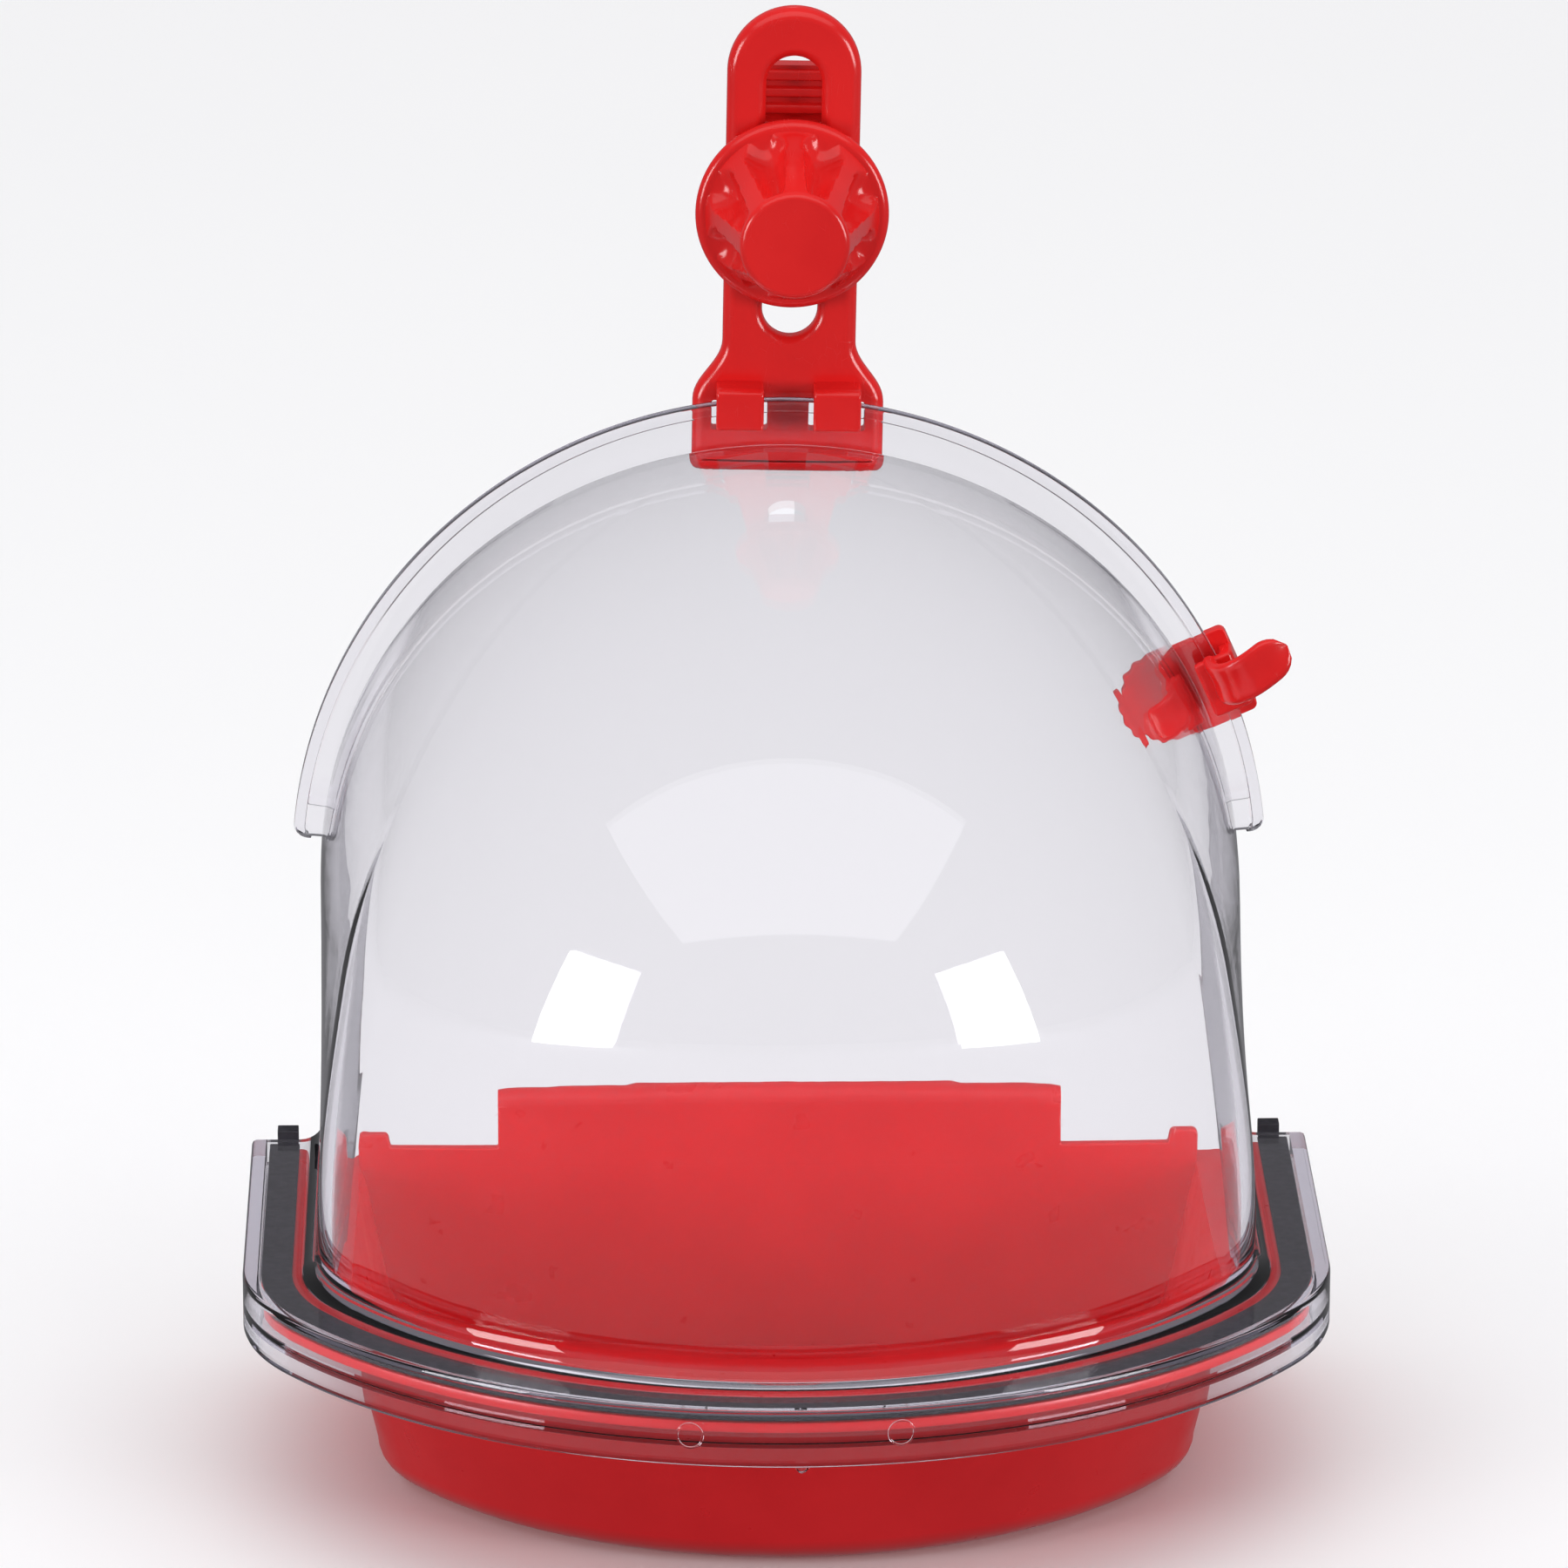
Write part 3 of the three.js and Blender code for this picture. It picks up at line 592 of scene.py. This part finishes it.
def vault(inset, turns, back=0.0):
    """The dome's outlines above the arch's centre. turns run from 0, level with the centre, to 90 degrees."""
    rise = DOME_RISE - (inset - DOME_INSET)
    return [dome_line(inset, ARCH_Z + rise * math.sin(turn), math.cos(turn), back) for turn in turns]


def dome_shell():
    """Skirt, deck, fillet and dome, outside and inside, as one closed surface."""
    outside = SKIRT_FACE + [(DECK_FROM, SKIRT_HEIGHT)]
    for i in range(FILLET_STEPS + 1):
        turn = math.pi / 2 * i / FILLET_STEPS
        height = SKIRT_HEIGHT + DOME_FILLET * (1 - math.cos(turn))
        outside.append((DOME_INSET - DOME_FILLET + DOME_FILLET * math.sin(turn), height))
    inside = [(DOME_HOLLOW, DECK_UNDER + DECK_BEVEL), (DOME_HOLLOW - DECK_BEVEL, DECK_UNDER)]
    inside += [(SKIRT_WALL, DECK_UNDER), (SKIRT_WALL, LIP_TOP), (LIP_INSET - SKIRT_BEVEL, LIP_TOP)]
    inside += [(LIP_INSET, LIP_TOP - SKIRT_BEVEL), (LIP_INSET, LIP_UNDER + SKIRT_BEVEL)]
    inside += [(LIP_INSET - SKIRT_BEVEL, LIP_UNDER), (SKIRT_WALL, LIP_UNDER), (SKIRT_WALL, SKIRT_BEVEL)]
    inside += [(SKIRT_WALL - SKIRT_BEVEL, 0.0)]
    turns = [math.pi / 2 * i / DOME_LAYERS for i in range(DOME_LAYERS + 1)]
    lines = [at(d_line(inset), z) for inset, z in outside]
    lines += [dome_line(DOME_INSET, z) for z in DOME_HEIGHTS]
    lines += vault(DOME_INSET, turns)
    lines += vault(DOME_HOLLOW, reversed(turns))
    lines += [dome_line(DOME_HOLLOW, z) for z in reversed(DOME_HEIGHTS)]
    lines += [at(d_line(inset), z) for inset, z in inside]
    return sweep("hood_shell", lines)


def dome_hollow():
    """The space under the dome, taken out of the rail."""
    turns = [HOLLOW_TURN * i / HOLLOW_LAYERS for i in range(HOLLOW_LAYERS + 1)]
    rings = [at(d_line(DOME_HOLLOW, HOLLOW_BACK), HOLLOW_LOW)]
    return loft("hollow", rings + vault(DOME_HOLLOW, turns, HOLLOW_BACK))


def arch(r, y, turn):
    """A point at a radius and turn about the arch's centre. turn is 0 to the right and rises anticlockwise."""
    return (r * math.cos(turn), y, ARCH_Z + r * math.sin(turn))


def rail():
    """The arched flange with its bead and rounded ends."""
    span = math.pi - 2 * RAIL_END
    near = [s / RAIL_R for s in RAIL_CORNER_STEPS]
    clear = 1.2 * near[-1]
    even = [span * i / RAIL_STEPS for i in range(RAIL_STEPS)]
    turns = near + [turn for turn in even if clear < turn < span - clear]
    turns += [span - turn for turn in reversed(near)]
    lines = []
    for r, y in RAIL_SECTION:
        line = []
        for turn in turns:
            s = min(turn, span - turn) * RAIL_R
            lost = RAIL_CORNER - math.sqrt(max(0.0, RAIL_CORNER**2 - max(0.0, RAIL_CORNER - s) ** 2))
            outer = r
            if r > RAIL_ROOT:
                outer = RAIL_ROOT + (r - RAIL_ROOT) * (RAIL_R - lost - RAIL_ROOT) / (RAIL_R - RAIL_ROOT)
            line.append(arch(outer, y, RAIL_END + turn))
        lines.append(line)
    return sweep("rail", lines)


def stop(side):
    """A ramp on the rail that a clip snaps over. It is steep towards the rail's end and slopes down away from it."""
    rings = []
    for i in range(STOP_STEPS + 1):
        share = i / STOP_STEPS
        turn = STOP_FROM + (STOP_TO - STOP_FROM) * share
        if share < STOP_CREST:
            rise = math.sin(share / STOP_CREST * math.pi / 2)
        else:
            rise = (1 - (share - STOP_CREST) / (1 - STOP_CREST)) ** STOP_CURVE
        top = STOP_FOOT - STOP_HEIGHT * rise
        corners = [(STOP_INNER, STOP_BACK), (STOP_INNER, top + STOP_BEVEL), (STOP_INNER + STOP_BEVEL, top)]
        corners += [(STOP_OUTER - STOP_BEVEL, top), (STOP_OUTER, top + STOP_BEVEL), (STOP_OUTER, STOP_BACK)]
        if side < 0:
            turn = math.pi - turn
        rings.append([arch(r, y, turn) for r, y in corners])
    return loft("stop", rings)


def nib_and_rings():
    """The gate nib under the skirt's front edge, and two raised ejector rings on its front wall."""
    nib = [(NIB, NIB_BEVEL, NIB_BEVEL)]
    found = [plate("nib", nib, -DEPTH + NIB_BACK, -DEPTH + NIB_FRONT, lambda u, v, w: (NIB_X + u, w, v))]
    for x, z in EJECTORS:
        depth = FRONT_Y - math.sqrt(FRONT_R**2 - x**2)
        lean = math.atan2(x, depth - FRONT_Y)
        points, faces = [], []
        for i in range(EJECTOR_STEPS):
            turn = 2 * math.pi * i / EJECTOR_STEPS
            for k in range(EJECTOR_SIDES):
                roll = 2 * math.pi * k / EJECTOR_SIDES
                reach = EJECTOR_R + EJECTOR_WIRE * math.cos(roll)
                u, v, w = reach * math.cos(turn), reach * math.sin(turn), EJECTOR_WIRE * math.sin(roll)
                across = x - u * math.cos(lean) + w * math.sin(lean)
                points.append((across, depth + EJECTOR_SINK + u * math.sin(lean) + w * math.cos(lean), z + v))
        for i in range(EJECTOR_STEPS):
            here, there = i * EJECTOR_SIDES, (i + 1) % EJECTOR_STEPS * EJECTOR_SIDES
            for k in range(EJECTOR_SIDES):
                m = (k + 1) % EJECTOR_SIDES
                faces.append([here + k, here + m, there + m, there + k])
        found.append(solid("ejector", points, faces))
    return found


def make_hood():
    hood = dome_shell()
    extra = combine(rail(), dome_hollow(), "DIFFERENCE")
    for side in (-1, 1):
        extra = combine(extra, stop(side), "UNION")
    hood = combine(hood, extra, "UNION")
    for part in nib_and_rings():
        hood = combine(hood, part, "UNION")
    clean(hood, 0.003, FINE)
    return settle(hood, "hood", ["hood"], CLEAR, 32)


# ---------------------------------------------------------------- tray and gasket


def cup_rings(wall, top):
    """The cup's outlines from its bottom up to top, moved inwards by wall."""
    inset = CUP_INSET + wall
    half = HALF_WIDTH - inset
    edge = CUP_EDGE_R - wall
    back = CUP_BACK - wall
    layers = []
    for i in range(CUP_EDGE_STEPS + 1):
        turn = math.pi / 2 * i / CUP_EDGE_STEPS
        inwards = CUP_TAPER + edge * (1 - math.sin(turn))
        layers.append((1 - inwards / half, CUP_BOTTOM + wall + edge * (1 - math.cos(turn))))
    layers.append((1.0, top))
    return [at(d_line(inset, back / scale), z, scale) for scale, z in layers]


def flange():
    """The tray's flat rim, which slides in the hood's groove."""
    rings = []
    for height, way in ((FLANGE_LOW, 1), (FLANGE_TOP, -1)):
        edge = [(FLANGE_EDGE, 0.0), (FLANGE_BEVEL, FLANGE_BEVEL), (0.0, FLANGE_EDGE)][::way]
        rings += [at(d_line(FLANGE_INSET + inset), height + way * rise) for inset, rise in edge]
    return loft("tray_shell", rings)


def back_wall():
    """The tray's flat back, with an ear on each side and the neck of the perch in the middle."""
    half = HALF_WIDTH - DOME_HOLLOW - WALL_SIDE_GAP
    ear, ear_top = half - EAR_WIDTH, WALL_TOP + EAR_RISE
    right = [(ear, WALL_LOW, 0), (half, EAR_LOW, 0), (half, ear_top, 0.9), (ear, ear_top, 0.7)]
    right += [(ear - 0.4, WALL_TOP, 0.3), (PERCH_HALF, WALL_TOP, 0.3), (PERCH_HALF, PERCH_NECK, 0)]
    left = [(-x, z, r) for x, z, r in reversed(right)]
    outline = left[-1:] + right + left[:-1]
    shape = rounded([(x, z) for x, z, _ in outline], [r for _, _, r in outline])
    back, front = CUP_BACK - 0.02, CUP_BACK - CUP_WALL + 0.02
    return plate("back_wall", [(shape, 0.3, 0.3)], back, front, front_view, 3)


def perch():
    """The rolled lip along the top of the back wall, very slightly uneven."""
    rings = []
    for i in range(PERCH_STEPS + 1):
        x = -PERCH_HALF + 2 * PERCH_HALF * i / PERCH_STEPS
        size = PERCH_R * PERCH_END_SIZES.get(min(i, PERCH_STEPS - i), 1.0)
        ring = []
        for k in range(PERCH_SIDES):
            turn = 2 * math.pi * k / PERCH_SIDES
            wave = noise.noise(Vector((x * 0.3, 3 * math.cos(turn), 3 * math.sin(turn))))
            reach = size * (1 + PERCH_UNEVEN * wave)
            middle = CUP_BACK + PERCH_R - CUP_WALL
            ring.append((x, middle + reach * math.cos(turn), PERCH_NECK + reach * math.sin(turn)))
        rings.append(ring)
    return loft("perch", rings)


def make_tray():
    tray = combine(flange(), loft("cup", cup_rings(0.0, FLANGE_TOP - 0.4)), "UNION")
    tray = combine(tray, loft("cup_hollow", cup_rings(CUP_WALL, FLANGE_TOP + 2)), "DIFFERENCE")
    tray = combine(tray, back_wall(), "UNION")
    tray = combine(tray, perch(), "UNION")
    clean(tray)
    return settle(tray, "tray", ["tray"], SATIN_RED)


def make_gasket():
    outer, inner, bevel = FLANGE_INSET, FLANGE_INSET + GASKET_WIDTH, GASKET_BEVEL
    low, top = GASKET_LOW, GASKET_TOP
    section = [(outer + bevel, low), (outer, low + bevel), (outer, top - bevel), (outer + bevel, top)]
    section += [(inner - bevel, top), (inner, top - bevel), (inner, low + bevel), (inner - bevel, low)]
    gasket = sweep("gasket_strip", [at(d_line(inset), z) for inset, z in section])
    foot_low, foot_top = low + 0.02, top - 0.02
    outline = [(-2.5, foot_low), (3.0, foot_low), (3.0, GASKET_END_TOP), (0.4, GASKET_END_TOP)]
    outline += [(0.4, foot_top), (-2.5, foot_top)]
    shape = rounded(outline, [0.2, 0.3, 0.35, 0.35, 0.2, 0.2])
    for side in (-1, 1):
        near, far = side * GASKET_END_X - GASKET_END_HALF, side * GASKET_END_X + GASKET_END_HALF
        gasket = combine(gasket, plate("end", [(shape, bevel, bevel)], near, far, side_view, 2), "UNION")
    clean(gasket)
    return settle(gasket, "tray", ["rim_gasket"], RUBBER)


# ---------------------------------------------------------------- bracket and clamp


def hook_tab(x, width, ledge_low, ledge_top, low, edge):
    """A tab that reaches forward over the rail from a plate and hangs down in front of it."""
    outline = [(TAB_ROOT, ledge_low), (TAB_ROOT, ledge_top), (TAB_FRONT, ledge_top), (TAB_FRONT, low)]
    outline += [(TAB_INNER, low), (TAB_INNER, ledge_low)]
    shape = rounded(outline, [0, 0, 1.1, 0.6, 0.3, 0.5], 6)
    return plate("tab", [(shape, edge, edge)], x, x + width, side_view, 4)


def make_bracket():
    foot = [(0, PLATE_BOTTOM), (FOOT_HALF, PLATE_BOTTOM), (FOOT_HALF, FOOT_TOP), (0, FOOT_TOP)]
    right = rounded(foot, [0, FOOT_R, 0, 0])[1:-2]
    for i in range(FLARE_STEPS + 1):
        t = i / FLARE_STEPS
        a, b, c, d = (1 - t) ** 3, 3 * (1 - t) ** 2 * t, 3 * (1 - t) * t**2, t**3
        x = FOOT_HALF * (a + b) + PLATE_HALF * (c + d)
        z = FOOT_TOP * a + (FOOT_TOP + FLARE_PULL) * b + (FLARE_TOP - FLARE_PULL) * c + FLARE_TOP * d
        right.append((x, z))
    right += [(PLATE_HALF, z) for z in PLATE_SIDE_HEIGHTS]
    right += arc(0, PLATE_TOP - PLATE_HALF, PLATE_HALF, 0, 90, 20)
    outline = right + [(-x, z) for x, z in reversed(right[:-1])]
    slot = arc(0, SLOT_HIGH, SLOT_R, 0, 180, 24) + arc(0, SLOT_LOW, SLOT_R, 180, 360, 24)
    loops = [(outline, 0.5, 1.7), (slot, 0.4, 1.5)]
    for x in TAB_X:
        near, far = x - WINDOW_GAP, x + TAB_WIDTH + WINDOW_GAP
        window = [(near, WINDOW_LOW), (far, WINDOW_LOW), (far, WINDOW_TOP), (near, WINDOW_TOP)]
        loops.append((rounded(window, WINDOW_R), 0.15, 0.15))
    bracket = plate("bracket_plate", loops, PLATE_BACK, PLATE_FRONT, front_view, 6)
    for x in TAB_X:
        bracket = combine(bracket, hook_tab(x, TAB_WIDTH, LEDGE_LOW, LEDGE_TOP, TAB_LOW, 0.45), "UNION")
    clean(bracket)
    return settle(hanger_turned(bracket), "bracket", ["hanger_bracket"], GLOSS_RED)


def make_clamp_plate():
    outline = [(CLAMP_BACK, CLAMP_LOW), (CLAMP_BACK, CLAMP_TOP), (CLAMP_FRONT + RIDGE_DEPTH, CLAMP_TOP)]
    for i in reversed(range(int((CLAMP_TOP - CLAMP_LOW) / RIDGE_PITCH))):
        low = CLAMP_LOW + (i + 0.25) * RIDGE_PITCH
        outline += [(CLAMP_FRONT + y, low + z) for z, y in RIDGE]
    outline.append((CLAMP_FRONT + RIDGE_DEPTH, CLAMP_LOW))
    outline.reverse()
    clamp = plate("clamp_jaw", [(outline, 0.2, 0.2)], -CLAMP_HALF, CLAMP_HALF, side_view, 2)
    profile = [(0, CLAMP_FRONT - 1), (BORE_R, CLAMP_FRONT - 1), (BORE_R, CLAMP_BACK - 1.3)]
    profile += [(SINK_R, CLAMP_BACK - 1.3), (SINK_R, CLAMP_BACK - 0.3), (SINK_MOUTH_R, CLAMP_BACK + 0.1)]
    profile += [(SINK_MOUTH_R, CLAMP_BACK + 1), (0, CLAMP_BACK + 1)]
    clamp = combine(clamp, turned("bore", profile, 40, CLAMP_Z), "DIFFERENCE")
    clean(clamp)
    return settle(hanger_turned(clamp), "clamp", ["clamp_plate"], GLOSS_RED)


def make_bolt():
    profile = list(BOLT_HEAD)
    root = BOLT_R - THREAD_DEPTH
    y = THREAD_FROM
    while y > THREAD_TO:
        profile += [(BOLT_R, y), (root, y - THREAD_PITCH * 0.45), (root, y - THREAD_PITCH * 0.55)]
        y -= THREAD_PITCH
    profile += [(BOLT_R, y)] + BOLT_END
    bolt = turned("carriage_bolt", profile, 36, CLAMP_Z)
    return settle(hanger_turned(bolt), "clamp", ["clamp_bolt"], STEEL, 30)


def make_insert():
    back, front, r, bevel = INSERT_BACK, INSERT_BACK - INSERT_LENGTH, INSERT_R, INSERT_BEVEL
    profile = [(INSERT_BORE_R, back), (r - bevel, back), (r, back - bevel)]
    for i in range(1, INSERT_BANDS):
        y = back - INSERT_LENGTH * i / INSERT_BANDS
        groove = r - INSERT_GROOVE
        profile += [(r, y + bevel), (groove, y + 0.1), (groove, y - 0.1), (r, y - bevel)]
    profile += [(r, front + bevel), (r - bevel, front), (INSERT_BORE_R, front), (INSERT_BORE_R, back)]
    insert = turned("insert_sleeve", profile, 36, CLAMP_Z)
    return settle(hanger_turned(insert), "insert", ["knob_insert"], BRASS, 30)


def scooped(r, t, apart):
    """The knob's radius at t, from its rim to its face, and at apart, from a scoop's middle to the next ridge."""
    round_end = math.sqrt(max(0.0, 1 - (1 - min(1.0, t / SCOOP_ROUND)) ** 2))
    width = max(1e-3, (SCOOP_WIDTH - SCOOP_NARROWS * t) * round_end)
    across = max(0.0, 1 - (apart / width) ** 2)
    along = math.sin(math.pi / 2 * min(1.0, (1 - t) / SCOOP_RUNOUT))
    return r - (SCOOP_DEPTH - SCOOP_SHALLOWS * t) * across**SCOOP_CURVE * along * round_end


def make_knob():
    """A rimmed disc that narrows to a flat round face, with eight scooped flutes and one ridge straight up."""
    body = []
    for i in range(CONE_STEPS + 1):
        t = i / CONE_STEPS
        body.append((CONE_R - CONE_NARROWS * t**CONE_CURVE, CONE_FROM + (KNOB_LENGTH - CONE_SHORT) * t, t))
    turns = FLUTES * FLUTE_STEPS
    lines = []
    for k in range(turns):
        angle = 2 * math.pi * k / turns
        share = (k / FLUTE_STEPS + FLUTES / 4) % 1.0
        apart = abs(share - 0.5) * 2
        line = KNOB_RIM + [(scooped(r, t, apart), -height) for r, height, t in body] + KNOB_FACE
        lines.append([(r * math.cos(angle), y, CLAMP_Z + r * math.sin(angle)) for r, y in line])
    knob = sweep("fluted_knob", lines, capped=False)
    knob = combine(knob, turned("seat", KNOB_SEAT, 40, CLAMP_Z), "DIFFERENCE")
    clean(knob, flat=FINE)
    return settle(hanger_turned(knob), "knob", ["clamp_knob"], GLOSS_RED, 50)


# ---------------------------------------------------------------- side clip


def rounded_power(value, power):
    """value drawn towards plus or minus 1 by a power below 1, which makes a circle squarer."""
    return math.copysign(abs(value) ** power, value)


def finger():
    """The clip's flat hook, which curls forward and up from its tab and is hollowed on one side."""
    route = [Vector(point) for point in FINGER_ROUTE]
    rings = []
    for i in range(FINGER_STEPS + 1):
        t = i / FINGER_STEPS
        here, along = bezier(route, t)
        across = Vector((1, 0, 0))
        across = (across - along * across.dot(along)).normalized()
        lift = along.cross(across)
        past = max(0.0, (t - (1 - TIP_SHARE)) / TIP_SHARE)
        tip = max(TIP_LEAST, math.sqrt(max(0.0, 1 - past**2)))
        half, thick = FINGER_HALF, FINGER_HALF_THICKNESS
        ring = []
        for k in range(FINGER_SIDES):
            roll = 2 * math.pi * k / FINGER_SIDES
            u, v = rounded_power(math.cos(roll), 0.7), rounded_power(math.sin(roll), 0.9)
            hollow = FINGER_HOLLOW * max(0.0, -v) * (1 - u * u)
            rise = lift * (v + hollow) * thick * max(tip, TIP_LEAST_THICKNESS)
            ring.append(tuple(here + across * u * half * tip + rise))
        rings.append(ring)
    return loft("finger", rings)


def make_side_clip():
    """Drawn with the rail's radius along z at x = 0, then turned about the arch's centre."""
    half = CLIP_FOOT_HALF
    foot = [(half, GRIP_CENTRE), (half, CLIP_OUTER), (-half, CLIP_OUTER), (-half, GRIP_CENTRE)]
    outline = rounded(foot, [0, 1.0, 1.0, 0])
    steps = GRIP_SCALLOPS * GRIP_STEPS
    for i in range(1, steps):
        turn = math.pi * (1 + i / steps)
        r = GRIP_R - GRIP_WAVE * (1 - math.cos(2 * math.pi * GRIP_SCALLOPS * i / steps))
        outline.append((r * math.cos(turn), GRIP_CENTRE + r * math.sin(turn)))
    clip = plate("clip_body", [(outline, 0.2, 0.25)], PLATE_FRONT + CLIP_DEPTH, PLATE_FRONT, front_view, 4)
    tab = hook_tab(-CLIP_TAB_HALF, 2 * CLIP_TAB_HALF, CLIP_LEDGE_LOW, CLIP_OUTER, CLIP_TAB_INNER, 0.5)
    clip = combine(clip, tab, "UNION")
    clip = combine(clip, finger(), "UNION")
    clean(clip)
    turn = Matrix.Translation((0, 0, ARCH_Z)) @ Matrix.Rotation(CLIP_TURN, 4, "Y")
    clip.data.transform(turn)
    return settle(clip, "side_clip", ["side_clip"], GLOSS_RED)


make_hood()
make_tray()
make_gasket()
make_bracket()
make_clamp_plate()
make_bolt()
make_insert()
make_knob()
make_side_clip()


# ---------------------------------------------------------------- floor, light and camera

FLOOR_REACH = 6.0
PART_MIDDLE = Vector((0, 0, 0.09))
WORLD_COLOUR, WORLD_STRENGTH = (0.95, 0.94, 1.0, 1), 0.22
# Lights that lie level: middle, width, length, radiance
OVERHEAD = ((0.0, -0.82, 1.3), 2.5, 1.45, 1.0)
FLOOR_FILL = ((0.0, 1.45, 2.0), 4.2, 3.0, 1.27)
# Lights that face the part: azimuth and elevation in degrees, distance, width, height, radiance
WINDOWS = {
    "left_window": (-60, 9, 1.6, 0.60, 0.66, 9.5),
    "right_window": (59, 8, 1.6, 0.60, 0.66, 9.5),
    "rear_window": (180, 38, 1.6, 0.14, 0.2, 1.5),
}
CAMERA_DISTANCE, CAMERA_LENS, SENSOR_WIDTH, CLIP_START = 1.5, 248.7, 36.0, 0.05
CAMERA_YAW, CAMERA_RISE = math.radians(1.25), math.radians(18.8)
AIM_HEIGHT, AIM_UP, AIM_LEFT = 0.06, math.radians(0.661), math.radians(0.014)


def make_floor():
    """A pale floor. It isn't seen by diffuse or glossy rays, so it tints and veils the part less."""
    mesh = bpy.data.meshes.new("floor")
    corners = [(x * FLOOR_REACH, y * FLOOR_REACH, 0) for x, y in ((-1, -1), (1, -1), (1, 1), (-1, 1))]
    mesh.from_pydata(corners, [], [(0, 1, 2, 3)])
    floor = bpy.data.objects.new("floor", mesh)
    bpy.context.scene.collection.objects.link(floor)
    n = Nodes("pale_floor")
    n.set(Roughness=0.9, Specular_IOR_Level=0.1)
    n.link(n.colour(n.noise(3.0), (0.93, 0.93, 0.935, 1), (0.95, 0.95, 0.95, 1)), n.shader.inputs["Base Color"])
    mesh.materials.append(n.material)
    floor.visible_diffuse = False
    floor.visible_glossy = False


def area_light(name, place, width, height, radiance):
    """A rectangular light of even radiance that faces straight down."""
    data = bpy.data.lights.new(name, "AREA")
    data.shape = "RECTANGLE"
    data.size = width
    data.size_y = height
    data.energy = radiance * math.pi * width * height
    light = bpy.data.objects.new(name, data)
    bpy.context.scene.collection.objects.link(light)
    light.location = place
    return light


def panel(name, azimuth, elevation, distance, width, height, radiance):
    """A light panel that faces the part. azimuth 0 is straight ahead of it and 90 to its right, in degrees."""
    turn, rise = math.radians(azimuth), math.radians(elevation)
    way = Vector((math.sin(turn) * math.cos(rise), -math.cos(turn) * math.cos(rise), math.sin(rise)))
    light = area_light(name, PART_MIDDLE + way * distance, width, height, radiance)
    light.rotation_euler = (-way).to_track_quat("-Z", "Y").to_euler()


def make_light():
    world = bpy.data.worlds.new("studio")
    bpy.context.scene.world = world
    world.use_nodes = True
    background = world.node_tree.nodes["Background"]
    background.inputs["Color"].default_value = WORLD_COLOUR
    background.inputs["Strength"].default_value = WORLD_STRENGTH
    area_light("overhead", *OVERHEAD)
    for name, values in WINDOWS.items():
        panel(name, *values)
    fill = area_light("floor_fill", *FLOOR_FILL)
    fill.visible_glossy = False
    fill.visible_transmission = False


def make_camera():
    """Above level and a little to the left of straight ahead, as fitted to the photo."""
    data = bpy.data.cameras.new("camera")
    data.sensor_width = SENSOR_WIDTH
    data.lens = CAMERA_LENS
    data.clip_start = CLIP_START
    camera = bpy.data.objects.new("camera", data)
    bpy.context.scene.collection.objects.link(camera)
    yaw, rise = CAMERA_YAW, CAMERA_RISE
    way = Vector((-math.sin(yaw) * math.cos(rise), -math.cos(yaw) * math.cos(rise), math.sin(rise)))
    camera.location = Vector((0, 0, hood_low.z + AIM_HEIGHT)) + CAMERA_DISTANCE * way
    camera.rotation_euler = (math.pi / 2 - rise + AIM_UP, 0, -yaw + AIM_LEFT)
    bpy.context.scene.camera = camera


make_floor()
make_light()
make_camera()
bpy.context.scene.view_settings.view_transform = "Standard"

bpy.context.view_layer.update()
